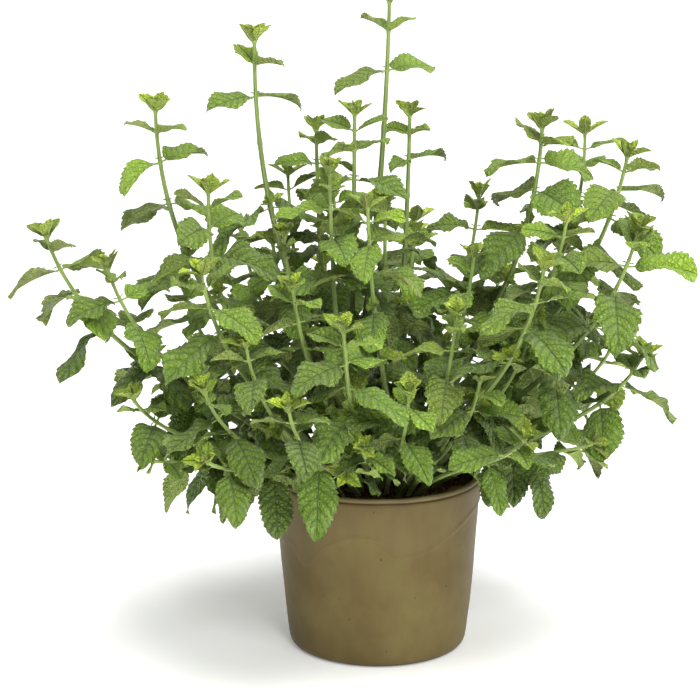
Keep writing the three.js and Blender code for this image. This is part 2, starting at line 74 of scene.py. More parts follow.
def add_node(tree, kind, inputs=None, out=0, stops=None, **settings):
    """Adds a node and returns one of its outputs, or all of them if out is None. inputs fills its
    sockets with values or with other nodes' outputs. stops are a colour ramp's places and colours."""
    made = tree.nodes.new("ShaderNode" + kind)
    for name, value in settings.items():
        setattr(made, name, value)
    for socket, value in (inputs or {}).items():
        if isinstance(value, bpy.types.NodeSocket):
            tree.links.new(value, made.inputs[socket])
        else:
            made.inputs[socket].default_value = value
    if stops:
        elements = made.color_ramp.elements
        while len(elements) < len(stops):
            elements.new(0.5)
        for element, (place, colour) in zip(elements, stops):
            element.position = place
            element.color = linear(colour)
    if out is None or not made.outputs:
        return made.outputs
    return made.outputs[out]


def start_material(name):
    """A new, empty material, and the function above bound to its node tree."""
    material = bpy.data.materials.new(name)
    material.use_nodes = True
    material.node_tree.nodes.clear()
    return material, partial(add_node, material.node_tree)


def end_material(material, inputs):
    """Closes a material with one Principled shader, whose sockets inputs fills."""
    shader = add_node(material.node_tree, "BsdfPrincipled", inputs)
    add_node(material.node_tree, "OutputMaterial", {"Surface": shader})
    return material


print("a mid grey, #808080, is", round(linear("#808080")[0], 3), "in linear light")

# %% [markdown]
# ## Camera, floor and light
#
# The plant is seen from a little above, from about a metre and a half away, with a long lens, so
# the pot's sides stay nearly parallel. Large soft lamps and a bright surround give the soft light of
# a catalogue. The surround is brighter on the right and behind, and dimmer on the left, which rounds
# the pot. The floor is a white acrylic shooting table, which is lit a little from below to keep the
# shadows light. Where nothing stands in the way, the surround itself is seen as plain white.

# %% Camera
CAMERA_PLACE = (-0.019, -1.504, 0.547)
CAMERA_DOWN = 12.82      # degrees below the horizon
CAMERA_LENS = 117.7      # mm, on a sensor 36 mm wide

camera_data = bpy.data.cameras.new("camera")
camera_data.lens = CAMERA_LENS
camera_data.sensor_width = 36
camera = bpy.data.objects.new("camera", camera_data)
camera.location = CAMERA_PLACE
camera.rotation_euler = (math.radians(90 - CAMERA_DOWN), 0, 0)
bpy.context.scene.collection.objects.link(camera)
bpy.context.scene.camera = camera
bpy.context.scene.view_settings.view_transform = "Standard"

# %% Floor, lamps and surround
FLOOR_HALF = 7.0         # m, far past the view
LAMPS = [
    # name, kind, place, size (m, or degrees for the sun), power (watts, or W/m2 for the sun):
    # each looks at the middle of the crown
    ("front_lamp", "AREA", (0.45, -1.9, 1.4), 0.6, 24),
    ("right_lamp", "AREA", (1.2, -1.6, 1.3), 0.6, 7),
    ("wide_top_light", "SUN", (0.2, -0.4, 2.2), 40, 3.1),
]
CROWN_MIDDLE = (0.0, 0.0, 0.22)
SURROUND = (0.02, 0.6)   # strength on its dim side and on its bright side
BRIGHT_SIDE = (0.85, 0.5, 0.15)


def studio_floor():
    """Matt white acrylic, very faintly mottled, with a little light coming through."""
    material, node = start_material("studio_floor")
    mottle = node("TexNoise", {"Scale": 3.0, "Detail": 2.0})
    tone = node("ValToRGB", {"Fac": mottle}, stops=[(0.3, "#f7f7f6"), (0.7, "#fafaf9")])
    return end_material(material, {"Base Color": tone, "Roughness": 0.9,
                                   "Emission Color": (1, 1, 1, 1), "Emission Strength": 0.26})


corners = [(x * FLOOR_HALF, y * FLOOR_HALF, -0.0002) for x, y in ((-1, -1), (1, -1), (1, 1), (-1, 1))]
floor_mesh = bpy.data.meshes.new("floor")
floor_mesh.from_pydata(corners, [], [(0, 1, 2, 3)])
floor_mesh.materials.append(studio_floor())
floor = bpy.data.objects.new("floor", floor_mesh)
bpy.context.scene.collection.objects.link(floor)

for lamp_name, lamp_kind, lamp_place, lamp_size, lamp_power in LAMPS:
    lamp_data = bpy.data.lights.new(lamp_name, lamp_kind)
    if lamp_kind == "SUN":
        lamp_data.angle = math.radians(lamp_size)
    else:
        lamp_data.size = lamp_size
    lamp_data.energy = lamp_power
    lamp = bpy.data.objects.new(lamp_name, lamp_data)
    lamp.location = lamp_place
    aim = np.array(CROWN_MIDDLE) - np.array(lamp_place)
    drop = math.atan2(-aim[2], math.hypot(aim[0], aim[1]))
    lamp.rotation_euler = (math.pi / 2 - drop, 0, math.atan2(aim[1], aim[0]) - math.pi / 2)
    bpy.context.scene.collection.objects.link(lamp)

surround = bpy.data.worlds.new("surround")
surround.use_nodes = True
sky = surround.node_tree
sky.nodes.clear()
direction = add_node(sky, "TexCoord", out="Generated")
towards = add_node(sky, "VectorMath", {0: direction, 1: BRIGHT_SIDE}, out="Value",
                   operation="DOT_PRODUCT")
brightness = add_node(sky, "MapRange", {"Value": towards, 1: -1.0, 2: 1.0,
                                        3: SURROUND[0], 4: SURROUND[1]})
seen_directly = add_node(sky, "LightPath", out="Is Camera Ray")
brightness = add_node(sky, "Math", {0: brightness, 1: seen_directly}, operation="MAXIMUM")
glow = add_node(sky, "Background", {"Color": (1, 1, 1, 1), "Strength": brightness})
add_node(sky, "OutputWorld", {"Surface": glow})
bpy.context.scene.world = surround
print(len(LAMPS), "lamps and a bright surround")

# %% [markdown]
# ## How the plant grows
#
# A mint shoot follows one rule. It rises out of the soil, leans out over the rim and turns up to
# its tip. From the tip down it carries pairs of leaves, each pair square to the one before, with
# the stretches between them growing longer. Young leaves are small and stand up, and older ones are
# longer, wider and hang. The CAD model was grown with this same rule from the same numbers, so
# running it again here gives every stem and leaf its place. That is simpler than reading them back
# out of the CAD solids, and it leaves each leaf's own axis and age at hand.

# %% The shoots
FRONT_SHOOTS = [
    # tip x, y, z; pairs; longest leaf; turn of the youngest pair; then what only some have
    (52, -62, 190, 4, 32, 65, {"root": (30, -22)}),  # small, over the open soil
    (7, 10, 442, 8, 42, 38, {"root": (-20, 8), "gap": 2, "bare": 3}),  # tall middle
    (-81, -10, 418, 8, 43, 40, {"out": 1.05, "gap": 1.6, "bare": 3}),  # tall left
    (-148, 10, 370, 7, 43, 50, {"root": (-33, 1), "out": 1, "gap": 1.5}),  # mid left
    (-220, -20, 290, 8, 44, 40),  # far left
    (-177, -50, 275, 8, 40, 20),  # second left
    (-109, -60, 326, 8, 42, 70, {"root": (-33, -18), "out": 1.08}),  # left
    (-112, -110, 282, 8, 42, 130),  # left front rosette
    (-42, 40, 354, 8, 36, 30, {"root": (-28, 15)}),  # behind the middle
    (-16, -30, 372, 8, 38, 60, {"root": (-20, -7)}),  # before the tall middle
    (-32, -70, 340, 8, 40, 10, {"root": (-17, -22)}),  # middle rosette
    (-62, 60, 320, 7, 38, 100, {"root": (-36, 33)}),  # back left
    (21, 20, 366, 8, 36, 42, {"root": (8, 12), "gap": 1.3, "bare": 3}),  # right of middle
    (-8, -80, 320, 8, 38, 75, {"root": (16, -26)}),  # front middle
    (4, -22, 312, 7, 36, 15, {"root": (4, -10)}),  # inside the middle
    (108, 0, 360, 9, 46, 35, {"out": 0.95}),  # tall right
    (139, 30, 352, 8, 42, 80, {"out": 1.05}),  # right
    (164, -10, 342, 8, 44, 50),  # far right
    (166, -60, 300, 8, 47, 8),  # far right, to the front
    (117, -90, 312, 8, 40, 110),  # right front, high
    (102, -110, 286, 8, 42, 30),  # right front rosette
    (63, -20, 277, 7, 34, 60),  # between the middle and the right
    (48, -90, 251, 7, 38, 0, {"root": (26, -34)}),  # front right of the middle
    (174, -40, 213, 7, 46, 10),  # low right, curving up
    (159, 60, 223, 7, 40, 75),  # low right, to the back
    (92, -120, 178, 7, 38, 15),  # low right front
    (142, -70, 160, 6, 34, 60),  # lowest right
    (-23, -130, 250, 7, 42, 55),  # bright front rosette
    (-57, -150, 205, 7, 38, 85),  # low front
    (-11, -120, 172, 6, 36, 40),  # low front rosette over the rim
    (-110, -130, 212, 7, 38, 25),  # left front, leaning
    (-161, -70, 192, 7, 38, 50),  # low left
    (-110, -140, 168, 6, 36, 70),  # low left front
    (-150, -88, 152, 6, 34, 20),  # lowest left
    (-84, -125, 240, 7, 38, 95),  # left front, mid height
    (-55, -105, 272, 8, 38, 40, {"root": (-27, -37)}),  # front left of the middle
    (-62, -55, 296, 7, 36, 5),  # inside left
    (-22, -100, 146, 4, 34, 50),  # hanging over the rim
    (98, -66, 238, 8, 36, 80),  # fills the right front
    (64, -98, 212, 7, 36, 35),  # fills the front right, lower
    (18, -118, 208, 7, 38, 10),  # fills the front, low
    (-88, -70, 140, 4, 32, 35),  # hanging left of the rim
]
BACK_ROWS = [
    # count, reach, height, pairs, leaf, shift: the far side, from high inside to low outside
    (4, 82, 292, 8, 38, 0.5),
    (6, 146, 258, 8, 40, 0.5),
    (6, 172, 182, 7, 38, 0.2),
]
BACK_START = 12
BACK_SWEEP = 160
GOLDEN_ANGLE = 137.5


def list_shoots():
    """Every shoot with the numbers that it grows by."""
    shoots = []
    for x, y, z, pairs, leaf, turn, *rest in FRONT_SHOOTS:
        more = rest[0] if rest else {}
        shoots.append(Namespace(
            tip=(x, y, z), pairs=pairs, leaf=leaf, turn=turn, root=more.get("root"),
            out=more.get("out", 0.85), gap=more.get("gap", 1), bare=more.get("bare")))
    grown = 0
    for count, reach, height, pairs, leaf, shift in BACK_ROWS:
        for i in range(count):
            angle = math.radians(BACK_START + ((i + shift) * BACK_SWEEP) / count)
            tip = (reach * math.cos(angle), reach * math.sin(angle), height + (16, -16)[i % 2])
            shoots.append(Namespace(tip=tip, pairs=pairs, leaf=leaf, turn=grown * GOLDEN_ANGLE,
                                    root=None, out=0.85, gap=1, bare=None))
            grown += 1
    for number, shoot in enumerate(shoots):
        shoot.number = number
    return shoots


print(len(list_shoots()), "shoots")

# %% [markdown]
# ## Stems
#
# A stem is one bent line from its root to its tip. Two stems can't share a place, so each keeps its
# tip and tries places to root, the natural one first, until its whole line passes the others. A
# crowd of points sorted into cells keeps this quick. Curves drawn by hand would cross somewhere.

# %% The pot's sizes and vectors
SOIL_LEVEL = 112         # all in mm
POT_HEIGHT = 120
RIM_RADIUS = 70
WALL = 4.6
UP = np.array((0.0, 0.0, 1.0))


def mix(a, b, t):
    return a + (b - a) * t


def unit(v):
    return v / math.sqrt(v[0] * v[0] + v[1] * v[1] + v[2] * v[2])


def cross(a, b):
    return np.array((a[1] * b[2] - a[2] * b[1], a[2] * b[0] - a[0] * b[2], a[0] * b[1] - a[1] * b[0]))


print("the soil lies", POT_HEIGHT - SOIL_LEVEL, "mm under the lip")

# %% The path of a stem
STEM_ROOT = 12           # mm of stem in the soil
ROOT_REACH = 44          # mm, how far from the pot's middle a shoot may root
ROOT_STEP = 3
ROOT_RINGS = 12
STEPS = 160              # stretches of a path


def root_choices(shoot):
    """The places where a shoot may root, the natural one first."""
    x, y, z = shoot.tip
    share = mix(0.2, 0.12, (z - 140) / 300)
    rx, ry = shoot.root or (x * share, y * share)
    choices = [(rx, ry)]
    for ring in range(1, ROOT_RINGS + 1):
        for i in range(8):
            angle = math.radians(45 * (i + ring / 2))
            choices.append((rx + ROOT_STEP * ring * math.cos(angle),
                            ry + ROOT_STEP * ring * math.sin(angle)))
    return [c for c in choices if math.hypot(*c) <= ROOT_REACH]


def stem_path(shoot, root):
    """Points down a stem, from its tip to its foot in the soil."""
    base = np.array((*root, SOIL_LEVEL - STEM_ROOT), dtype=float)
    dx, dy, dz = (shoot.tip[i] - base[i] for i in range(3))
    rise = max(0.3 * dz, 40)
    controls = [
        (0, 0, 0),
        (0.1 * dx, 0.1 * dy, rise),
        (shoot.out * dx, shoot.out * dy, max(0.45 * dz, min(rise + 6, dz))),
        (dx, dy, dz),
    ]
    t = 1 - np.arange(STEPS + 1) / STEPS
    s = 1 - t
    weights = [s * s * s, 3 * s * s * t, 3 * s * t * t, t * t * t]
    path = np.tile(base, (STEPS + 1, 1))
    for control, weight in zip(controls, weights):
        path = path + np.array(control) * weight[:, None]
    return path


print("each shoot has up to", 1 + 8 * ROOT_RINGS, "places to root")

# %% The joints of a stem
STEM_HALF_FOOT = 1.9     # mm, half a stem's width
STEM_HALF_TIP = 0.9
BUD_LENGTH = 6           # mm above the topmost joint
FIRST_INTERNODE = 9      # mm between the two topmost joints
INTERNODE_GROWTH = 1.45
BARE_FOOT = 12           # mm above the soil without joints


def point_at(shoot, distance):
    """The point of a stem at a distance from its tip."""
    i = min(STEPS, int(np.searchsorted(shoot.travelled, distance)))
    gap = shoot.travelled[i] - shoot.travelled[i - 1]
    share = (distance - shoot.travelled[i - 1]) / gap
    return shoot.path[i - 1] + (shoot.path[i] - shoot.path[i - 1]) * share


def stem_half(distance, whole):
    """Half the width of a stem at a distance from its tip."""
    grown = min(1, distance / 200) * min(1, whole / 200)
    return mix(STEM_HALF_TIP, STEM_HALF_FOOT, grown)


def add_joints(shoot):
    """The joints from the tip down. pair is -1 where the stem is bare."""
    steps = np.diff(shoot.path, axis=0)
    shoot.travelled = np.concatenate(([0], np.cumsum(np.sqrt((steps * steps).sum(axis=1)))))
    shoot.whole = shoot.travelled[-1]
    shoot.joints = []
    distance, pair = BUD_LENGTH, 0
    while distance < shoot.whole - STEM_ROOT - BARE_FOOT:
        along = unit(point_at(shoot, distance - 2) - point_at(shoot, distance + 2))
        shoot.joints.append(Namespace(
            at=point_at(shoot, distance), along=along, distance=distance,
            pair=pair if pair < shoot.pairs and pair != shoot.bare else -1,
            half=stem_half(distance, shoot.whole)))
        distance += min(shoot.leaf, FIRST_INTERNODE * INTERNODE_GROWTH ** pair) * shoot.gap
        pair += 1


print("internodes grow by", INTERNODE_GROWTH, "from", FIRST_INTERNODE, "mm")

# %% Stems that keep clear of each other
STEM_SPACING = 5.6       # mm between the middles of two stems
RIM_CLEARANCE = 4        # mm between a stem and the wall or rim
NEAR_CELLS = [(i, j, k) for i in (-1, 0, 1) for j in (-1, 0, 1) for k in (-1, 0, 1)]


class Crowd:
    """Points already taken, kept in cells so that only near ones are compared."""

    def __init__(self, cell):
        self.cell = cell
        self.cells = {}

    def add(self, p, owner):
        key = tuple(math.floor(v / self.cell) for v in p)
        self.cells.setdefault(key, []).append((p, owner))

    def is_near(self, p, skipped):
        i, j, k = (math.floor(v / self.cell) for v in p)
        for di, dj, dk in NEAR_CELLS:
            for other, owner in self.cells.get((i + di, j + dj, k + dk), ()):
                if owner != skipped and math.dist(other, p) < self.cell:
                    return True
        return False


def is_at_rim(p):
    """Too near the pot's wall and rim for a stem."""
    inside = RIM_RADIUS - WALL - RIM_CLEARANCE
    return math.hypot(p[0], p[1]) > inside and p[2] < POT_HEIGHT + RIM_CLEARANCE


def grow_stems(shoots):
    """Each stem keeps its tip and takes the first root from which it passes the others."""
    spaced = Crowd(STEM_SPACING)
    for shoot in shoots:
        for root in root_choices(shoot):
            shoot.path = stem_path(shoot, root)
            points = [tuple(p) for p in shoot.path.tolist()]
            if not any(spaced.is_near(p, shoot.number) or is_at_rim(p) for p in points):
                break
        add_joints(shoot)
        for p in points:
            spaced.add(p, shoot.number)


shoots = list_shoots()
grow_stems(shoots)
print(sum(len(shoot.joints) for shoot in shoots), "joints on", len(shoots), "stems")

# %% [markdown]
# ## Where the leaves go
#
# Every joint bears two leaves, one on each side. Their lift, roll, length and sag follow from their
# age, with a little chance. Real leaves give way to each other, so a leaf that would meet a
# neighbour is turned, lifted, lowered or made smaller until it fits, and left out if it never does.
# Only points on its blade are compared, which is quick and near enough.

# %% Planning a leaf
PETIOLE = 0.1            # share of a leaf's length before its blade starts
WORD = 0xFFFFFFFF        # keeps whole numbers to 32 bits


def draws_from(seed):
    """Numbers from 0 to 1 that look random and are the same in every run."""
    state = seed
    while True:
        state = (state + 0x6D2B79F5) & WORD
        t = ((state ^ (state >> 15)) * (state | 1)) & WORD
        t ^= (t + (t ^ (t >> 7)) * (t | 61)) & WORD
        yield (t ^ (t >> 14)) / 4294967296


def across(along, angle):
    """The direction across a stem at an angle, square to the way the stem points."""
    ax, ay, az = along
    k = 1 / (1 + az)
    x = np.array((1 - ax * ax * k, -ax * ay * k, -ax))
    y = np.array((-ax * ay * k, 1 - ay * ay * k, -ay))
    return x * math.cos(angle) + y * math.sin(angle)


def blade_half(t):
    """Half the width of a blade at t along the leaf, as a share of its greatest half width."""
    u = min(1, max(0, (t - PETIOLE) / (1 - PETIOLE)))
    return math.sin(math.pi * u ** 0.75) ** 0.85


def plan_leaf(shoot, joint, side, draw):
    """Young leaves stand up around the tip, and older ones are longer, wider and hang more."""
    pair = joint.pair
    low = mix(1, 0, min(1, (joint.at[2] - 120) / 120))

    def jitter(size):
        return (next(draw) * 2 - 1) * size

    return Namespace(
        angle=shoot.turn + 90 * pair + 180 * side + jitter(10),
        lift=80 * 0.55 ** pair - 20 - 14 * low + jitter(10),
        roll=jitter(26),
        length=shoot.leaf * min(1, 0.36 + 0.3 * pair) * (1 + jitter(0.1)),
        slimness=min(0.72, 0.54 + 0.03 * pair) * (1 + jitter(0.06)),
        sag=0.14 + 0.05 * min(pair, 5) + jitter(0.07))


def place_leaf(joint, plan, turn=0, lift=0, size=1):
    """A leaf's start, its own axes and its size."""
    rise, roll = math.radians(plan.lift + lift), math.radians(plan.roll)
    square = across(joint.along, math.radians(plan.angle + turn))
    level = unit(square * (1, 1, 0.4))
    along = unit(level * math.cos(rise) + UP * math.sin(rise))
    normal = unit(UP - along * along[2])
    side = cross(normal, along)
    length = plan.length * size
    return Namespace(
        start=joint.at + square * joint.half, along=along,
        right=side * math.cos(roll) + normal * math.sin(roll),
        length=length, width=length * plan.slimness, sag=plan.sag)


print("the widest blade is", round(2 * max(blade_half(t / 50) for t in range(51)), 2),
      "of a leaf's width")

# %% Fitting a leaf between its neighbours
LEAF_CLEARANCE = 3.4     # mm
STEM_CLEARANCE = 4.6
SAMPLE_STEP = 4.5        # mm between the points that are compared
SIZES = (1, 0.86, 0.72, 0.58)
# Turn and lift to add, in degrees.
TRIES = ((0, 0), (14, 9), (-14, 9), (14, -12), (-14, -12), (0, 20), (0, -20), (28, 0), (-28, 0))
WALL_INSIDE = 61         # mm from the pot's middle
LOWEST_LEAF = 30         # mm above the ground


def leaf_samples(leaf):
    """Points spread over a blade, to test it against its neighbours."""
    samples = []
    rows = max(3, math.floor(leaf.length * 0.8 / SAMPLE_STEP + 0.5))
    sx, sy, sz = leaf.start
    ax, ay, az = leaf.along
    rx, ry, rz = leaf.right
    for row in range(rows + 1):
        t = 0.22 + 0.78 * row / rows
        reach = leaf.length * t
        x, y, z = sx + ax * reach, sy + ay * reach, sz + az * reach - leaf.sag * leaf.length * t * t
        half = blade_half(t) * leaf.width / 2
        columns = max(1, math.floor(half * 2 / SAMPLE_STEP + 0.5))
        for column in range(columns + 1):
            offset = half * (2 * column / columns - 1)
            samples.append((x + rx * offset, y + ry * offset, z + rz * offset))
    return samples


def is_kept_clear(p):
    """The pot's wall and rim, the soil and the open patch of soil at the front."""
    x, y, z = p
    r = math.hypot(x, y)
    at_wall = WALL_INSIDE < r < RIM_RADIUS + RIM_CLEARANCE and z < POT_HEIGHT + RIM_CLEARANCE
    in_soil = r <= WALL_INSIDE and z < SOIL_LEVEL + RIM_CLEARANCE
    patch_top = POT_HEIGHT + 3 + 0.28 * max(0, -45 - y)
    return at_wall or in_soil or (2 < x < 66 and y < -32 and z < patch_top) or z < LOWEST_LEAF


def fit_leaf(shoot, joint, plan, leaves, stems):
    """The leaf as planned, or turned, raised, lowered or smaller, clear of what grew before it."""
    owner = shoot.number if joint.pair < 2 else -1
    for size in SIZES:
        for turn, lift in TRIES:
            leaf = place_leaf(joint, plan, turn, lift, size)
            samples = leaf_samples(leaf)
            if not any(is_kept_clear(p) or leaves.is_near(p, owner)
                       or stems.is_near(p, shoot.number) for p in samples):
                return leaf, samples
    return None, []


def grow_leaves(shoots):
    """Gives every joint its leaves, shoot by shoot."""
    stems, leaves = Crowd(STEM_CLEARANCE), Crowd(LEAF_CLEARANCE)
    for shoot in shoots:
        for p in shoot.path.tolist():
            stems.add(tuple(p), shoot.number)
    for shoot in shoots:
        draw = draws_from(1000 + shoot.number)
        for joint in shoot.joints:
            joint.leaves = []
            for side in ((0, 1) if joint.pair >= 0 else ()):
                plan = plan_leaf(shoot, joint, side, draw)
                leaf, samples = fit_leaf(shoot, joint, plan, leaves, stems)
                for p in samples:
                    leaves.add(p, shoot.number)
                if leaf:
                    joint.leaves.append(leaf)


grow_leaves(shoots)
leaf_count = sum(len(joint.leaves) for shoot in shoots for joint in shoot.joints)
print(leaf_count, "leaves on", len(shoots), "shoots")

# %% [markdown]
# ## Turning lists of points into pieces
#
# A plant has far too many faces for editing tools, so its meshes are worked out with NumPy and
# handed to Blender in one go. A heap gathers many small closed bodies, such as the leaves of one
# shoot, into one mesh. It also gathers named values for every point. The shaders read those values
# through Attribute nodes, which is how a leaf's material can know where its own midrib is.

# %% Heaps of points and faces
SHARP_EDGE = math.radians(70)


class Heap:
    """Points in mm, faces and the values of the points, gathered for one mesh."""

    def __init__(self):
        self.points, self.faces, self.finishes, self.values = [], [], [], []
        self.count = 0

    def add(self, points, faces, finishes, values):
        """finishes holds one material number for each list of faces of one kind."""
        self.points.append(points)
        self.faces += [f + self.count for f in faces]
        self.finishes += [np.broadcast_to(n, len(f)) for f, n in zip(faces, finishes)]
        self.values.append(values)
        self.count += len(points)


def make_piece(name, heap, materials, nodes):
    """Makes a heap into a piece that rides on the plant and stands for CAD nodes."""
    mesh = bpy.data.meshes.new(name)
    points = np.concatenate(heap.points) * MM
    corners = np.concatenate([f.ravel() for f in heap.faces])
    sizes = np.concatenate([np.full(len(f), f.shape[1]) for f in heap.faces])
    mesh.vertices.add(len(points))
    mesh.vertices.foreach_set("co", points.ravel())
    mesh.loops.add(len(corners))
    mesh.loops.foreach_set("vertex_index", corners)
    mesh.polygons.add(len(sizes))
    mesh.polygons.foreach_set("loop_start", np.cumsum(sizes) - sizes)
    mesh.polygons.foreach_set("material_index", np.concatenate(heap.finishes))
    for key in heap.values[0]:
        value = np.concatenate([v[key] for v in heap.values])
        kind = ("FLOAT_VECTOR", "vector") if value.ndim == 2 else ("FLOAT", "value")
        mesh.attributes.new(key, kind[0], "POINT").data.foreach_set(kind[1], value.ravel())
    mesh.update(calc_edges=True)
    mesh.validate()
    mesh.shade_smooth()
    mesh.set_sharp_from_angle(angle=SHARP_EDGE)
    for material in materials:
        mesh.materials.append(material)
    piece = bpy.data.objects.new(name, mesh)
    bpy.context.scene.collection.objects.link(piece)
    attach(piece, "root")
    if nodes:
        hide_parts(*nodes)
    return piece


def ring_faces(rows, around):
    """Quads between closed rings of points, with one face over each end."""
    first = np.arange(rows - 1)[:, None] * around + np.arange(around)
    after = np.arange(rows - 1)[:, None] * around + (np.arange(around) + 1) % around
    quads = np.stack([first, after, after + around, first + around], axis=-1).reshape(-1, 4)
    low = np.arange(around)[::-1][None, :]
    high = (rows - 1) * around + np.arange(around)[None, :]
    return quads, low, high


print("heaps ready")

# %% [markdown]
# ## The shape of one leaf
#
# A mint leaf is egg-shaped with a drawn-out tip and small forward-pointing teeth. Its side veins
# sink into the upper side and the tissue between them puffs up, so the leaf looks quilted. It is
# folded a little along its midrib. A flat outline with a bump map would lose all of that at the
# leaf's edge, so each leaf is a closed thin body with real teeth, real quilting and a real rib under
# it. Every row of points runs once around the leaf: over the upper side and back under it.

# %% Leaf outline and quilting
VEIN_PAIRS = 7
VEIN_SLANT = 0.17        # how far along the leaf a side vein has moved when it meets the margin
HALF_PETIOLE = 0.75      # mm
BLADE_HALF_THICK = 0.16  # mm
RIB_DEPTH = 0.6          # mm, how far the midrib stands out underneath
FULL_COLUMNS = (0, 0.07, 0.26, 0.48, 0.68, 0.86, 1)
SMALL_COLUMNS = (0, 0.1, 0.5, 1)
# Teeth on a side, places across, and how narrow the ends are: leaflets are slimmer at the tip.
BIG_LEAF = (11, FULL_COLUMNS, 0.6)
SMALL_LEAF = (5, SMALL_COLUMNS, 0.95)


def blade_grid(teeth, columns, narrowing):
    """The places of a leaf's points: t from the stem to the tip, and v across, from 1 to -1."""
    v = np.array(list(columns[::-1]) + [-c for c in columns[1:]])
    steps = np.arange(3 * teeth + 1)
    blade = PETIOLE + (1 - PETIOLE) * steps / steps[-1]
    t = np.concatenate(([0, 0.045, 0.085], blade))
    # Each tooth takes three rows: its notch, its back and its point.
    tooth = np.concatenate(([0, 0, 0], np.array([-0.06, 0.02, 0.065])[steps % 3]))
    forward = np.concatenate(([0, 0, 0], np.array([0, 0.1, 0.5])[steps % 3] * (t[4] - t[3])))
    # Half the width of a real blade, which is fuller at both ends than the plain one that it grew as.
    u = np.clip((t - PETIOLE) / (1 - PETIOLE), 0, 1)
    outline = np.clip(np.sin(np.pi * u ** 0.78), 0, 1) ** narrowing
    return t, v, tooth, forward, outline


GRIDS = {kind: blade_grid(*kind) for kind in (BIG_LEAF, SMALL_LEAF)}


def smooth_step(low, high, x):
    u = np.clip((x - low) / (high - low), 0, 1)
    return u * u * (3 - 2 * u)


def leaf_body(leaf, kind, look):
    """One closed leaf: its points, its faces, their materials and the points' values.

    look gives its fold, droop, waves, twist, quilting, age, tone and number."""
    # T runs along the leaf. V runs across it, as a share of half its width, X is the same in mm,
    # and S is V without its sign.
    t, v, tooth, forward, outline = GRIDS[kind]
    fade = np.clip(np.sin(np.pi * np.clip((t - 0.12) / 0.86, 0, 1)) * 2.2, 0, 1)
    is_blade = smooth_step(0.085, 0.2, t)
    half = outline * leaf.width / 2 * (1 + tooth * fade)
    half = np.maximum(half, HALF_PETIOLE * look.thick * (1 - 0.8 * t))
    edge = smooth_step(0.6, 1, np.abs(v))
    T = t[:, None] + forward[:, None] * fade[:, None] * edge[None, :]
    V = np.broadcast_to(v, T.shape)
    S = np.abs(V)
    X = half[:, None] * V
    # The blade's height over the plane of its midrib.
    size = leaf.width / 2
    phase = VEIN_PAIRS * ((T - PETIOLE) / (1 - PETIOLE) - VEIN_SLANT * (S + 0.5 * S * S))
    puff = np.abs(np.sin(np.pi * phase)) ** 0.7 * np.sqrt(np.clip(S * (1.15 - S), 0, 1)) * 2
    side_wave = np.sin(2 * np.pi * (look.waves * T) + look.number + 2.1 * np.sign(V))
    height = np.abs(X) * math.tan(look.fold) * (1 - 0.3 * S)
    height = height - look.droop * size * S ** 2.2 + look.wave * size * S ** 2 * side_wave
    height = height + look.quilt * size * puff * fade[:, None] + X * np.tan(look.twist * (T - 0.3))
    height = height * is_blade[:, None]
    # Thickness: thin at the margin, with a rib below that is the petiole's own body at the start.
    round_over = np.sqrt(np.clip(1 - S ** 4, 0, 1))
    petiole_top = 0.3 * HALF_PETIOLE * look.thick * round_over
    petiole_below = 0.95 * HALF_PETIOLE * look.thick * round_over
    near_rib = np.exp(-(X / 0.9) ** 2) * (1 - 0.85 * T)
    blade_top = BLADE_HALF_THICK * round_over - 0.25 * look.thick * near_rib * (S < 0.05)
    blade_below = BLADE_HALF_THICK * round_over + RIB_DEPTH * look.thick * near_rib * round_over
    blend = is_blade[:, None]
    top = height + petiole_top * (1 - blend) + blade_top * blend
    below = height - petiole_below * (1 - blend) - blade_below * blend
    # Into place: the midrib sags, and the height is measured square to it.
    L = leaf.length
    reach = np.where(T == 0, -0.06, T)
    middle = leaf.start + leaf.along * (L * reach)[..., None] - UP * (leaf.sag * L * T * T)[..., None]
    slope = leaf.along - UP * (2 * leaf.sag * t)[:, None]
    slope = slope / np.linalg.norm(slope, axis=1)[:, None]
    face = np.cross(slope, leaf.right)[:, None, :]
    flat = middle + leaf.right * X[..., None]
    upper, lower = flat + face * top[..., None], flat + face * below[..., None]
    # One ring for each row: the upper side from right to left, and back below.
    inner = slice(-2, 0, -1)
    points = np.concatenate([upper, lower[:, inner]], axis=1)
    rows, around = points.shape[:2]
    quads, low, high = ring_faces(rows, around)
    wide = len(v) - 1
    column = np.tile(np.arange(around), rows - 1)
    row = np.repeat(np.arange(rows - 1), around)
    # Upper and lower quads are split along the same diagonal, so that they never cross.
    below_side = column >= wide
    quads[below_side] = np.roll(quads[below_side], -1, axis=1)
    finish = np.where(below_side, 1, 0)
    finish[row < 3] = 2

    def around_of(grid):
        return np.concatenate([grid, grid[:, inner]], axis=1).ravel()

    values = {
        "blade_map": np.stack([around_of(phase), around_of(S), around_of(T)], axis=1),
        "blade_mm": np.stack([around_of(T) * L, around_of(X),
                              np.full(rows * around, look.number * 7.3)], axis=1),
        "leaf_kind": np.tile((look.age, look.tone, look.gold), (rows * around, 1)),
    }
    return points.reshape(-1, 3), (quads, low, high), (finish, 2, 0), values


print("a leaf has", sum(len(f) for f in ring_faces(len(GRIDS[BIG_LEAF][0]), 24)), "faces")

# %% [markdown]
# ## Leaf finishes
#
# The upper side of a mint leaf is downy, with a soft gloss. It is a mid green. Painted shade darkens
# its sunk veins and the fine net between them, and a painted highlight makes the puffed tissue paler.
# Young leaves are a fresh yellow green. The underside is paler, with pale raised veins, which are
# their own colour, and a fainter painted highlight on its puffed tissue. The veins come from the same
# values that shaped the quilting, so colour and shape always agree. The short hairs give a weak sheen
# at grazing angles. A real leaf lets a little light through. Light scattered inside a blade a third
# of a millimetre thick would hardly show, so the painted highlight on the puffed tissue stands for it
# too. The finest net of veins has cells of about 1.5 mm. It is drawn at 2.3 mm here, the least that
# still shows.

# %% Mint leaf, both sides
NET_CELL = 2.3           # mm
DOWN_GRAIN = 0.35        # mm, the clumps of short hairs


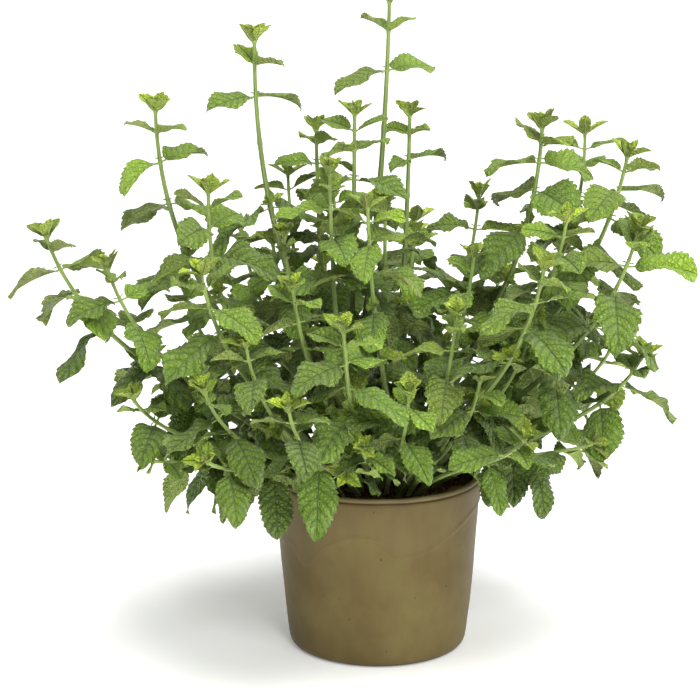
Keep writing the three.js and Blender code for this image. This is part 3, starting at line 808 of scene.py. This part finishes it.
def leaf_finish(name, ages, vein_tint_and_shade, vein_tint_and_shade_share, puffed_highlight, sheen, raised):
    """Living leaf tissue. ages is its colour from young to old. Then come the colour mixed into the
    veins and its share: painted shade in the sunk veins of the upper side, and the veins' own pale
    colour on the underside. Then the colour and share of a painted highlight on the tissue that bulges
    between the veins, and the sheen. raised says whether the veins stand out, as they do on the
    underside."""
    material, node = start_material(name)
    place = node("Attribute", out="Vector", attribute_name="blade_map")
    vein_place = node("SeparateXYZ", {0: place}, out=None)
    in_mm = node("Attribute", out="Vector", attribute_name="blade_mm")
    mm_parts = node("SeparateXYZ", {0: in_mm}, out=None)
    kind = node("Attribute", out="Vector", attribute_name="leaf_kind")
    kind_parts = node("SeparateXYZ", {0: kind}, out=None)
    # Side veins: where the quilting touches down, wandering a little.
    wander = node("TexNoise", {"Vector": in_mm, "Scale": 0.45, "Detail": 1.0})
    shifted = node("Math", {0: wander, 1: 0.34, 2: vein_place["X"]}, operation="MULTIPLY_ADD")
    centred = node("Math", {0: shifted, 1: 0.17}, operation="SUBTRACT")
    turns = node("Math", {0: centred, 1: math.pi}, operation="MULTIPLY")
    wave = node("Math", {0: turns}, operation="SINE")
    puff = node("Math", {0: wave}, operation="ABSOLUTE")
    side = node("MapRange", {"Value": puff, 1: 0.03, 2: 0.33, 3: 1.0, 4: 0.0})
    off_axis = node("Math", {0: mm_parts["Y"]}, operation="ABSOLUTE")
    rib = node("MapRange", {"Value": off_axis, 1: 0.2, 2: 0.6, 3: 1.0, 4: 0.0})
    veins = node("Math", {0: side, 1: rib}, operation="MAXIMUM")
    # The fine net between them.
    net_edge = node("TexVoronoi", {"Vector": in_mm, "Scale": 1 / NET_CELL},
                    out="Distance", feature="DISTANCE_TO_EDGE")
    net = node("MapRange", {"Value": net_edge, 1: 0.0, 2: 0.28, 3: 1.0, 4: 0.0})
    blotch = node("TexNoise", {"Vector": in_mm, "Scale": 0.11, "Detail": 3.0})
    down = node("TexNoise", {"Vector": in_mm, "Scale": 1 / DOWN_GRAIN, "Detail": 2.0})
    # Colour: age first, then each leaf's own tone and blotches, a painted highlight on the puffed
    # tissue, and the net and the veins, which are painted shade on the upper side.
    aged = node("ValToRGB", {"Fac": kind_parts["X"]}, stops=ages)
    golden = node("Mix", {0: kind_parts["Z"], 6: aged, 7: linear("#9ba32f")}, out=2, data_type="RGBA")
    tone = node("MapRange", {"Value": kind_parts["Y"], 3: 0.64, 4: 1.5})
    mottled = node("MapRange", {"Value": blotch, 1: 0.3, 2: 0.7, 3: 0.9, 4: 1.1})
    level = node("Math", {0: tone, 1: mottled}, operation="MULTIPLY")
    toned = node("VectorMath", {0: golden, "Scale": level}, operation="SCALE")
    # Painted highlight: the puffed tissue is mixed towards a pale colour.
    puffed_highlight_share = node("Math", {0: puff, 1: puffed_highlight[1]}, operation="MULTIPLY")
    pale = node("Mix", {0: puffed_highlight_share, 6: toned, 7: linear(puffed_highlight[0])}, out=2, data_type="RGBA")
    # Painted shade on the upper side: the net and the sunk veins are mixed towards dark green. On the
    # underside the same mix gives the veins their own pale colour.
    vein_all = node("Math", {0: net, 1: 0.75}, operation="MULTIPLY")
    vein_any = node("Math", {0: veins, 1: vein_all}, operation="MAXIMUM")
    vein_tint_and_shade_mask = node("Math", {0: vein_any, 1: vein_tint_and_shade_share}, operation="MULTIPLY")
    colour = node("Mix", {0: vein_tint_and_shade_mask, 6: pale, 7: linear(vein_tint_and_shade)}, out=2, data_type="RGBA")
    # Relief: veins sunk or raised, the net, and the down.
    sunk = node("Math", {0: vein_any, 1: 1.0 if raised else -1.0}, operation="MULTIPLY")
    relief = node("Math", {0: down, 1: 0.25, 2: sunk}, operation="MULTIPLY_ADD")
    bump = node("Bump", {"Height": relief, "Strength": 1.0, "Distance": 1.3 * MM}, out="Normal")
    rough = node("MapRange", {"Value": down, 3: 0.28, 4: 0.46})
    return end_material(material, {
        "Base Color": colour, "Roughness": rough, "IOR": 1.42, "Normal": bump,
        "Sheen Weight": sheen, "Sheen Roughness": 0.4, "Sheen Tint": linear("#eef3e6")})


# The upper side's dark vein colour is painted shade. The pale colours of the puffed tissue on both
# sides are painted highlights.
mint_upper = leaf_finish(
    "mint_leaf_upper",
    [(0.0, "#b4cc2e"), (0.2, "#82a322"), (0.55, "#5f7f1c"), (1.0, "#436114")],
    "#2e4a10", 0.27, ("#a6bd58", 0.28), 0.2, raised=False)
mint_underside = leaf_finish(
    "mint_leaf_underside",
    [(0.0, "#a9c03c"), (0.4, "#8ea83e"), (1.0, "#77913c")],
    "#b9c67c", 0.55, ("#94a750", 0.2), 0.15, raised=True)
print("two sides of a mint leaf")

# %% [markdown]
# ## Stem finish
#
# A mint stem is square, soft and downy. It is light green where it is young and turns olive lower
# down, with paler ridges at its four corners. The ridges come from a value that says how near a
# point is to a corner, so they follow the stem round every bend.

# %% Mint stem
def stem_finish():
    """Soft green stem, with fine streaks along it."""
    material, node = start_material("mint_stem_skin")
    along = node("Attribute", out="Vector", attribute_name="stem_map")
    parts = node("SeparateXYZ", {0: along}, out=None)
    aged = node("ValToRGB", {"Fac": parts["Z"]},
                stops=[(0.0, "#93ab56"), (0.35, "#7c9248"), (0.75, "#65753c"), (1.0, "#575d34")])
    stretch = node("VectorMath", {0: along, 1: (0.06, 1.6, 1.0)}, operation="MULTIPLY")
    streaks = node("TexNoise", {"Vector": stretch, "Scale": 1.0, "Detail": 3.0})
    ridge = node("MapRange", {"Value": parts["Y"], 1: 0.55, 2: 1.0, 3: 0.0, 4: 0.4})
    pale = node("Mix", {0: ridge, 6: aged, 7: linear("#a9bb74")}, out=2, data_type="RGBA")
    level = node("MapRange", {"Value": streaks, 1: 0.3, 2: 0.7, 3: 0.8, 4: 1.2})
    colour = node("VectorMath", {0: pale, "Scale": level}, operation="SCALE")
    bump = node("Bump", {"Height": streaks, "Strength": 0.5, "Distance": 0.15 * MM}, out="Normal")
    return end_material(material, {"Base Color": colour, "Roughness": 0.5, "IOR": 1.42,
                                   "Normal": bump, "Sheen Weight": 0.2, "Sheen Roughness": 0.4})


mint_stem = stem_finish()
print("one stem finish")

# %% [markdown]
# ## Stems
#
# Each stem is drawn as rings of points along its path. A ring is a circle pulled out towards four
# corners, which gives the square stem with soft ridges and shallow grooves. The stem swells a little
# at every joint. All the stems share one piece, since they share one finish.

# %% Stem bodies
STEM_SIDES = 16
STEM_STEP = 2.6          # mm between rings
JOINT_SWELL = 0.22
JOINT_REACH = 1.7        # mm

stem_heap = Heap()
ring_angle = 2 * np.pi * np.arange(STEM_SIDES) / STEM_SIDES
corner_share = 0.5 - 0.5 * np.cos(4 * ring_angle)
for shoot in shoots:
    rings = int(shoot.whole / STEM_STEP)
    distances = np.linspace(shoot.whole - 0.01, 0.8, rings)
    swell = np.zeros(rings)
    for joint in shoot.joints:
        swell += np.exp(-((distances - joint.distance) / JOINT_REACH) ** 2)
    points = []
    for distance, grown in zip(distances, swell):
        near_tip = smooth_step(0, 5, distance)
        half = stem_half(distance, shoot.whole) * (1 + JOINT_SWELL * grown) * (0.35 + 0.65 * near_tip)
        ahead = point_at(shoot, max(0.1, distance - 2))
        behind = point_at(shoot, min(shoot.whole - 0.005, distance + 2))
        along = unit(ahead - behind)
        x = across(along, math.radians(shoot.turn))
        y = across(along, math.radians(shoot.turn + 90))
        radius = half * (0.98 + 0.26 * corner_share)
        points.append(point_at(shoot, distance) + x * (radius * np.cos(ring_angle))[:, None]
                      + y * (radius * np.sin(ring_angle))[:, None])
    quads, low, high = ring_faces(rings, STEM_SIDES)
    age = np.clip(distances / 230, 0, 1)
    stem_map = np.stack([np.repeat(distances, STEM_SIDES), np.tile(corner_share, rings),
                         np.repeat(age, STEM_SIDES)], axis=1)
    stem_heap.add(np.concatenate(points), (quads, low, high), (0, 0, 0), {"stem_map": stem_map})
shoot_nodes = [f"shoot_{shoot.number + 1:02d}" for shoot in shoots]
stems = make_piece("stems", stem_heap, [mint_stem], shoot_nodes)
print("stems:", len(stems.data.vertices), "points")

# %% [markdown]
# ## Leaves, tips and side buds
#
# Each shoot's grown leaves are one piece, which stands for that shoot's CAD solid. Two kinds of
# small growth are too fine for the CAD model and belong to the looks. Folded leaflets close each tip,
# and pairs of small leaves sit in the angles between the old leaves and the stem. All of them are
# made by the same function as the big leaves, only with fewer points.

# %% Leaf pieces
TIP_PAIRS = [
    # length in mm, lift in degrees, height above the topmost joint
    (19, 36, 0.6),
    (14, 55, 2.2),
    (9, 72, 3.8),
]
LOWEST_SIDE_LEAVES = 165  # mm: lower down it is too dark for side shoots
tip_heap = Heap()
side_draw = draws_from(77)


def spread(size):
    """A small random amount either way."""
    return (next(side_draw) * 2 - 1) * size


def look_of(age, thick=1.0):
    """How one leaf is folded, waved and coloured."""
    return Namespace(
        fold=math.radians(mix(30, 14, min(1, age * 1.6)) + spread(9)),
        droop=mix(0.02, 0.2, age) + spread(0.06), wave=mix(0.05, 0.24, min(1, age * 2)) + spread(0.07),
        waves=1.7 + spread(0.6), twist=math.radians(spread(42)), quilt=0.085 + spread(0.02),
        age=max(0.0, min(1.0, age + spread(0.1))), tone=0.5 + spread(0.5),
        gold=max(0.0, spread(1.0) - 0.75) * 1.6, number=1 + 40 * next(side_draw), thick=thick)


def small_leaf(heap, at, stem_along, angle, lift, length, half, age):
    """A leaflet on a stem. lift is measured from square to the stem up towards its tip."""
    square = across(stem_along, math.radians(angle))
    rise = math.radians(lift)
    along = unit(square * math.cos(rise) + stem_along * math.sin(rise))
    right = unit(cross(stem_along * math.cos(rise) - square * math.sin(rise), along))
    leaf = Namespace(start=at + square * half, along=along, right=right, length=length,
                     width=length * (0.58 + spread(0.05)), sag=0.12 + spread(0.08))
    heap.add(*leaf_body(leaf, SMALL_LEAF, look_of(age, thick=0.55)))


leaf_pieces = []
for shoot, node in zip(shoots, shoot_nodes):
    heap = Heap()
    low_light = mix(0.25, 0.0, min(1, max(0, shoot.tip[2] - 120) / 200))
    for joint in shoot.joints:
        for leaf in joint.leaves:
            age = min(1, 0.08 + 0.13 * joint.pair + low_light)
            heap.add(*leaf_body(leaf, BIG_LEAF, look_of(age)))
        if joint.pair < 2 or joint.at[2] < LOWEST_SIDE_LEAVES:
            continue
        for side in (0, 1):
            angle = shoot.turn + 90 * joint.pair + 180 * side + spread(12)
            length = 3.0 if joint.pair < 4 else min(17, 3 + 2.1 * joint.pair + spread(5))
            at = joint.at + joint.along * 1.4
            for quarter in (0, 180) if joint.pair < 4 else (0, 180, 90, 270):
                small = length * (1 if quarter in (0, 180) else 0.62)
                axis = unit(joint.along + across(joint.along, math.radians(angle)) * 0.75)
                small_leaf(heap, at + axis * 1.5, axis, angle + quarter, 48 + spread(12), small,
                           0.3, 0.12)
    leaf_pieces.append(make_piece(node + "_leaves", heap, [mint_upper, mint_underside, mint_stem],
                                  [node]))
    top = shoot.joints[0]
    for turn, (length, lift, above) in enumerate(TIP_PAIRS, start=1):
        for side in (0, 180):
            at = top.at + top.along * above
            small_leaf(tip_heap, at, top.along, shoot.turn - 90 * turn + side + spread(8),
                       lift + spread(6), length * shoot.leaf / 42 + spread(0.8), 0.5, 0.0)
tips = make_piece("young_tips", tip_heap, [mint_upper, mint_underside, mint_stem],
                  shoot_nodes)
print(len(leaf_pieces), "leafy shoots,", sum(len(p.data.polygons) for p in leaf_pieces), "faces")
print("young tips:", len(tips.data.polygons), "faces")

# %% [markdown]
# ## The pot's body
#
# The pot is thrown stoneware, dipped in glaze. Turning a profile about the upright axis gives its
# body, as the potter's wheel does. The glaze was dipped twice, and the second coat ran, so a low
# wavy step crosses the side where that coat ends. The step is under a millimetre high and is
# made in the mesh, so that light catches it from every side. A thin groove runs under the lip.

# %% The pot's profile
POT_TURN = 220           # points around
SIDE_STEP = 0.9          # mm between rings on the side
POT_SIDE = [(61, 7), (63.8, 28), (66.6, 58), (68.9, 92), (70, 113)]
FOOT_CURVE = [(0.6, 0), (30, 0), (53, 0), (56.2, 0.25), (58.4, 1.2), (59.9, 3.0), (60.6, 4.9)]
LIP_CURVE = [(70.0, 115.2), (69.9, 116.2), (69.55, 116.7), (69.55, 117.1), (69.9, 117.5),
             (69.85, 118.4), (69.4, 119.3), (68.6, 119.85), (67.6, 120), (66.7, 119.8), (65.9, 119.1),
             (65.45, 118.0), (65.4, 115.0)]
POT_FLOOR = 7
SIDE_HEIGHTS = np.arange(7, 115, SIDE_STEP)


def pot_profile():
    """Radius and height from the middle of the underside over the lip to the middle inside."""
    radii = np.interp(SIDE_HEIGHTS, [h for _, h in POT_SIDE], [r for r, _ in POT_SIDE])
    inside = [(r - WALL, h) for r, h in POT_SIDE[:0:-1]]
    floor_curve = [(59.0, 16.0), (57.6, 10.0), (55.4, 7.6), (51.4, POT_FLOOR), (20, POT_FLOOR),
                   (0.6, POT_FLOOR)]
    return FOOT_CURVE + list(zip(radii, SIDE_HEIGHTS)) + LIP_CURVE + inside + floor_curve


profile = np.array(pot_profile())
print("the pot's profile has", len(profile), "points")

# %% The second coat's edge
GLAZE_STEP = 0.3         # mm, the thickness of the second coat at its edge
GLAZE_ROLL = 0.6         # mm, the roll in which its edge set
COAT_EDGE = [
    # degrees clockwise from above, starting at +X, and the height at which the second coat ends:
    # each low place is a run
    (0, 104), (28, 98), (45, 90), (61, 81), (74, 78), (80, 80), (90, 91), (105, 93), (122, 83),
    (130, 70), (139, 67), (146, 79), (152, 81), (163, 77), (176, 84), (200, 95), (222, 90), (236, 74),
    (248, 71), (258, 86), (285, 97), (306, 88), (318, 76), (330, 80), (345, 96), (360, 104),
]


def second_coat_edge(angle):
    """The height at which the second coat of glaze ends, round the pot."""
    turns, heights = zip(*COAT_EDGE)
    clockwise = (-np.degrees(angle)) % 360
    soft = [np.interp((clockwise + shift) % 360, turns, heights) for shift in (-4, -2, 0, 2, 4)]
    return np.mean(soft, axis=0)


print("the second coat runs down to", min(h for _, h in COAT_EDGE), "mm")

# %% Turned and dipped body
turn_angle = 2 * np.pi * np.arange(POT_TURN) / POT_TURN
radius, height = (np.repeat(profile[:, i:i + 1], POT_TURN, axis=1) for i in (0, 1))
outer = (np.arange(len(profile)) < len(FOOT_CURVE) + len(SIDE_HEIGHTS))[:, None]
over_edge = height - second_coat_edge(turn_angle)[None, :]
coat = smooth_step(-0.8, 0.8, over_edge) * outer
roll = np.exp(-((over_edge - 0.9) / 1.5) ** 2) * outer
# The potter's wheel leaves a slight unevenness, which fades out at the foot and under the lip.
fade_in = smooth_step(8, 30, height) * (1 - smooth_step(108, 114, height))
wobble = 0.22 * np.sin(3 * turn_angle + 0.06 * height) + 0.12 * np.sin(7 * turn_angle - 0.11 * height)
radius = radius + outer * fade_in * (GLAZE_STEP * (coat - 1) + GLAZE_ROLL * roll + wobble * 0.6 - 0.1)
pot_points = np.stack([radius * np.cos(turn_angle), radius * np.sin(turn_angle), height], axis=-1)
pot_quads, pot_low, pot_high = ring_faces(len(profile), POT_TURN)
pot_heap = Heap()
pot_heap.add(pot_points.reshape(-1, 3), (pot_quads, pot_low, pot_high), (0, 0, 0),
             {"second_coat": (coat + 0 * height).ravel()})
print("pot:", round(2 * radius.max(), 1), "mm across,", height.max(), "mm high")

# %% [markdown]
# ## Glaze
#
# The pot wears a satin stoneware glaze: khaki, a little greener where it is thick and browner where
# it thins, with small iron specks that burnt through in the kiln. It is paler over the lip and darker
# in the groove under it and at the foot. Just under the second coat's edge a thin line is darkened
# here and there, as painted shade under its step. Heights are read from the object's own coordinates,
# which are metres here, so each band sits where it was fired. Fired glaze has an IOR near 1.5, and a
# satin one is rougher than window glass, at 0.42 to 0.56. Its sky reflections are faint, so the
# specular level is kept low.

# %% Reactive glaze
def glaze_finish():
    """Satin khaki stoneware glaze."""
    material, node = start_material("satin_khaki_glaze")
    place = node("TexCoord", out="Object")
    tall = node("SeparateXYZ", {0: place}, out="Z")
    coat_share = node("Attribute", out="Fac", attribute_name="second_coat")
    cloud = node("TexNoise", {"Vector": place, "Scale": 22.0, "Detail": 4.0})
    base = node("ValToRGB", {"Fac": cloud},
                stops=[(0.3, "#5c4e2c"), (0.5, "#6a5c38"), (0.7, "#72663e")])
    coated = node("Math", {0: coat_share, 1: 0.35}, operation="MULTIPLY")
    two_coats = node("Mix", {0: coated, 6: base, 7: linear("#716244")}, out=2, data_type="RGBA")
    long_place = node("VectorMath", {0: place, 1: (1.0, 1.0, 0.35)}, operation="MULTIPLY")
    runs = node("TexNoise", {"Vector": long_place, "Scale": 160.0, "Detail": 5.0})
    run_level = node("MapRange", {"Value": runs, 1: 0.3, 2: 0.7, 3: 0.95, 4: 1.05})
    # Here and there a thin line just under the upper coat's edge is darkened: painted shade under its
    # step.
    off_edge = node("Math", {0: coat_share, 1: 0.3}, operation="SUBTRACT")
    off_edge = node("Math", {0: off_edge}, operation="ABSOLUTE")
    near_edge = node("MapRange", {"Value": off_edge, 1: 0.05, 2: 0.3, 3: 1.0, 4: 0.0})
    patches = node("TexNoise", {"Vector": place, "Scale": 26.0})
    some_places = node("MapRange", {"Value": patches, 1: 0.45, 2: 0.62, 3: 0.0, 4: 0.3})
    darker = node("Math", {0: near_edge, 1: some_places}, operation="MULTIPLY")
    step_shade_line = node("Math", {0: 1.0, 1: darker}, operation="SUBTRACT")
    runs_and_step_shade = node("Math", {0: run_level, 1: step_shade_line}, operation="MULTIPLY")
    streaked_and_step_shaded = node("VectorMath", {0: two_coats, "Scale": runs_and_step_shade}, operation="SCALE")
    # Iron specks under a millimetre across, about one in every square centimetre.
    speck_cell = node("TexVoronoi", {"Vector": place, "Scale": 130.0}, out="Distance")
    sparse = node("TexNoise", {"Vector": place, "Scale": 75.0})
    dot = node("MapRange", {"Value": speck_cell, 1: 0.06, 2: 0.13, 3: 1.0, 4: 0.0})
    some = node("MapRange", {"Value": sparse, 1: 0.56, 2: 0.62})
    speck = node("Math", {0: dot, 1: some}, operation="MULTIPLY")
    speck_share = node("Math", {0: speck, 1: 0.75}, operation="MULTIPLY")
    # Bands: dark at the foot and in the groove, pale over the lip.
    foot = node("MapRange", {"Value": tall, 1: 0.4 * MM, 2: 3.0 * MM, 3: 0.8, 4: 0.0})
    waver = node("MapRange", {"Value": cloud, 3: -1.0 * MM, 4: 1.0 * MM})
    at_lip = node("Math", {0: tall, 1: waver}, operation="ADD")
    lip = node("MapRange", {"Value": at_lip, 1: 117.2 * MM, 2: 118.4 * MM, 3: 0.0, 4: 0.8})
    off_groove = node("Math", {0: at_lip, 1: 116.8 * MM}, operation="SUBTRACT")
    off_groove = node("Math", {0: off_groove}, operation="ABSOLUTE")
    groove = node("MapRange", {"Value": off_groove, 1: 0.3 * MM, 2: 1.1 * MM, 3: 0.85, 4: 0.0})
    colour = streaked_and_step_shaded
    for share, tint in ((speck_share, "#3c2f1c"), (foot, "#2c2111"), (lip, "#8d7e60"),
                        (groove, "#3a2a15")):
        colour = node("Mix", {0: share, 6: colour, 7: linear(tint)}, out=2, data_type="RGBA")
    grain = node("TexNoise", {"Vector": place, "Scale": 900.0, "Detail": 2.0})
    bump = node("Bump", {"Height": grain, "Strength": 0.25, "Distance": 0.12 * MM}, out="Normal")
    rough = node("MapRange", {"Value": cloud, 3: 0.42, 4: 0.56})
    return end_material(material, {"Base Color": colour, "Roughness": rough, "IOR": 1.5,
                                   "Specular IOR Level": 0.12, "Normal": bump})


pot = make_piece("glazed_pot", pot_heap, [glaze_finish()], ["pot"])
print("glazed pot:", len(pot.data.polygons), "faces")

# %% Drain holes
DRAIN_RADIUS = 5
DRAIN_REACH = 27         # mm from the middle
DRAIN_TURNS = (30, 150, 270)

for drain_turn in DRAIN_TURNS:
    angle = math.radians(drain_turn)
    bpy.ops.mesh.primitive_cylinder_add(
        vertices=32, radius=DRAIN_RADIUS * MM, depth=4 * POT_FLOOR * MM,
        location=(DRAIN_REACH * MM * math.cos(angle), DRAIN_REACH * MM * math.sin(angle), 0))
    drill = bpy.context.object
    bore = pot.modifiers.new("drain", "BOOLEAN")
    bore.object = drill
    bore.operation = "DIFFERENCE"
    graph = bpy.context.evaluated_depsgraph_get()
    bored = bpy.data.meshes.new_from_object(pot.evaluated_get(graph))
    pot.modifiers.clear()
    pot.data = bored
    bpy.data.objects.remove(drill)
print("pot:", len(pot.data.polygons), "faces after boring", len(DRAIN_TURNS), "drains")

# %% [markdown]
# ## Potting soil
#
# The soil is peat: a dark red-brown crumb with pale and dark fibres, loose on top. One bumpy lid
# would look like a carpet, so three things make it: a body that fills the pot with an uneven top,
# several hundred separate crumbs half sunk in it, and fibres that lie across them.

# %% Soil body
SOIL_ROWS = 52           # rings of points over its top
SOIL_TURN = 150          # points around
SOIL_EDGE = 65.0         # mm from the middle


def soil_height(x, y):
    """The uneven top of the soil, in mm."""
    broad = noise.noise(Vector((x / 17, y / 17, 3.1)))
    clumps = noise.noise(Vector((x / 5, y / 5, 8.7)))
    fine = noise.noise(Vector((x / 1.8, y / 1.8, 5.3)))
    return SOIL_LEVEL + 0.8 + 1.7 * broad + 1.3 * clumps + 0.6 * fine


def ringed(radii_and_heights, around):
    """Rings of points about the upright axis."""
    angle = 2 * np.pi * np.arange(around) / around
    return np.array([[(r * math.cos(a), r * math.sin(a), h) for a in angle]
                     for r, h in radii_and_heights])


soil_wall = [(0.6, 7.35), (51, 7.35), (55.2, 8.2), (58.6, 16), (61.6, 58), (64.0, 92), (65.0, 110.5)]
soil_top = [(r, SOIL_LEVEL) for r in np.linspace(SOIL_EDGE - 0.3, 0.6, SOIL_ROWS)]
soil_points = ringed(soil_wall + soil_top, SOIL_TURN)
for ring in soil_points[len(soil_wall):]:
    for point in ring:
        point[2] = soil_height(point[0], point[1])
soil_heap = Heap()
quads, low, high = ring_faces(len(soil_points), SOIL_TURN)
soil_heap.add(soil_points.reshape(-1, 3), (quads, low, high), (0, 0, 0),
              {"peat_tone": np.full(soil_points[..., 0].size, 0.35)})
print("soil top: from", round(soil_points[len(soil_wall):, :, 2].min(), 1), "to",
      round(soil_points[..., 2].max(), 1), "mm high")

# %% Crumbs
CRUMBS = 900
CRUMB_RINGS = [(0.1, -1.0), (0.75, -0.6), (1.0, 0.0), (0.8, 0.55), (0.12, 0.95)]
CRUMB_TURN = 8
soil_draw = draws_from(501)


def on_soil():
    """A random place on top of the soil."""
    reach = (SOIL_EDGE - 2.5) * math.sqrt(next(soil_draw))
    angle = 2 * math.pi * next(soil_draw)
    x, y = reach * math.cos(angle), reach * math.sin(angle)
    return np.array((x, y, soil_height(x, y)))


for _ in range(CRUMBS):
    size = 0.5 + 1.5 * next(soil_draw) ** 2
    points = ringed(CRUMB_RINGS, CRUMB_TURN).reshape(-1, 3)
    points *= [1 + 0.5 * next(soil_draw), 1, 0.6 + 0.4 * next(soil_draw)]
    points *= np.array([[0.75 + 0.5 * next(soil_draw)] for _ in points])
    angle = math.tau * next(soil_draw)
    c, s = math.cos(angle), math.sin(angle)
    points = points @ np.array(((c, s, 0), (-s, c, 0), (0, 0, 1)))
    quads, low, high = ring_faces(len(CRUMB_RINGS), CRUMB_TURN)
    soil_heap.add(points * size + on_soil(), (quads, low, high), (0, 0, 0),
                  {"peat_tone": np.full(len(points), next(soil_draw))})
print(CRUMBS, "crumbs")

# %% Fibres
FIBRES = 520
FIBRE_TURN = 5
FIBRE_ROWS = 7
for _ in range(FIBRES):
    start, angle = on_soil(), math.tau * next(soil_draw)
    length, bend = 3 + 9 * next(soil_draw), 1.6 * (next(soil_draw) - 0.5)
    thick, hump = 0.1 + 0.14 * next(soil_draw), 0.6 + 1.8 * next(soil_draw)
    rings = []
    for i in range(FIBRE_ROWS):
        share = i / (FIBRE_ROWS - 1)
        way = angle + bend * share
        ahead = np.array((math.cos(way), math.sin(way), 0))
        level = np.array((-ahead[1], ahead[0], 0))
        middle = start + ahead * length * (share - 0.5)
        inside = math.hypot(middle[0], middle[1]) / (SOIL_EDGE - 1)
        middle[:2] /= max(1, inside)
        middle[2] = soil_height(middle[0], middle[1]) + 0.1 + hump * math.sin(math.pi * share)
        taper = thick * (0.35 + 0.65 * math.sin(math.pi * min(1, 0.12 + share)))
        for j in range(FIBRE_TURN):
            a = math.tau * j / FIBRE_TURN
            rings.append(middle + (level * math.cos(a) + UP * math.sin(a)) * taper)
    quads, low, high = ring_faces(FIBRE_ROWS, FIBRE_TURN)
    tone = 0.5 + 0.5 * next(soil_draw) if next(soil_draw) > 0.45 else 0.1
    soil_heap.add(np.array(rings), (quads[:, ::-1], low[:, ::-1], high[:, ::-1]), (0, 0, 0),
                  {"peat_tone": np.full(len(rings), tone)})
print(FIBRES, "fibres")

# %% [markdown]
# ## Peat finish
#
# Damp peat is matt and nearly black in its hollows, with crumbs from red brown to tan. Each crumb
# and fibre carries its own tone, and one colour ramp turns it into a colour, so neighbours differ as
# they do in a real handful. Fine noise breaks up each crumb.

# %% Damp peat
def peat_finish():
    """Damp peat: dark, matt and fibrous. The tone of each crumb comes with its points."""
    material, node = start_material("damp_peat")
    place = node("TexCoord", out="Object")
    tone = node("Attribute", out="Fac", attribute_name="peat_tone")
    grain = node("TexNoise", {"Vector": place, "Scale": 700.0, "Detail": 4.0})
    spread_tone = node("Math", {0: grain, 1: 0.55, 2: -0.27}, operation="MULTIPLY_ADD")
    share = node("Math", {0: tone, 1: spread_tone}, operation="ADD", use_clamp=True)
    colour = node("ValToRGB", {"Fac": share},
                  stops=[(0.0, "#2b1811"), (0.45, "#583526"), (0.8, "#8a5a3c"), (1.0, "#b48a5e")])
    bump = node("Bump", {"Height": grain, "Strength": 0.7, "Distance": 0.4 * MM}, out="Normal")
    rough = node("MapRange", {"Value": grain, 3: 0.75, 4: 0.98})
    return end_material(material, {"Base Color": colour, "Roughness": rough, "Normal": bump})


soil = make_piece("peat_soil", soil_heap, [peat_finish()], ["potting_soil"])
print("soil:", len(soil.data.polygons), "faces,", CRUMBS, "crumbs and", FIBRES, "fibres")

# %% [markdown]
# ## Withered leaves
#
# The oldest leaves dry to an orange brown and drop. A few lie curled on the soil near the rim. They
# are ordinary leaves with a tighter fold, a deeper curl and their own dead-leaf finish.

# %% Dropped leaves
WITHERED = [
    # x, y, height above the soil, turn, lift, roll, length
    (44.0, -40.0, 2.0, 20, 10, 20, 17),
    (30.0, -52.0, 1.2, 160, 6, -25, 12),
    (-28.0, -44.0, 2.0, 250, 10, 15, 22),
    (12.0, 46.0, 2.0, 80, 8, 10, 20),
]


print(len(WITHERED), "places for dropped leaves")

# %% Dead-leaf finish
def withered_finish():
    """Dried leaf: papery, orange brown, darker towards its margin."""
    material, node = start_material("withered_leaf_tissue")
    in_mm = node("Attribute", out="Vector", attribute_name="blade_mm")
    place = node("Attribute", out="Vector", attribute_name="blade_map")
    off_midrib = node("SeparateXYZ", {0: place}, out="Y")
    blotch = node("TexNoise", {"Vector": in_mm, "Scale": 0.22, "Detail": 4.0})
    dry = node("Math", {0: off_midrib, 1: 0.45, 2: blotch}, operation="MULTIPLY_ADD")
    colour = node("ValToRGB", {"Fac": dry},
                  stops=[(0.3, "#7a6a34"), (0.55, "#8a5526"), (0.95, "#4f2b14")])
    bump = node("Bump", {"Height": blotch, "Strength": 0.6, "Distance": 0.6 * MM}, out="Normal")
    rough = node("MapRange", {"Value": blotch, 3: 0.6, 4: 0.85})
    return end_material(material, {"Base Color": colour, "Roughness": rough, "Normal": bump})


dead_leaf = withered_finish()
print("one dead-leaf finish")

# %% Withered leaves on the soil
withered_heap = Heap()
for x, y, above, turn, lift, roll, length in WITHERED:
    stalk = Namespace(at=np.array((x, y, soil_height(x, y) + above)), along=UP, half=0)
    plan = Namespace(angle=turn, lift=lift, roll=roll, length=length, slimness=0.55, sag=0.12)
    look = look_of(1.0, thick=0.7)
    look.fold, look.droop, look.wave = math.radians(38), 0.45, 0.2
    withered_heap.add(*leaf_body(place_leaf(stalk, plan), BIG_LEAF, look))
withered = make_piece("withered_leaves", withered_heap, [dead_leaf] * 3, [])
print(len(WITHERED), "withered leaves on the soil,", len(withered.data.polygons), "faces")
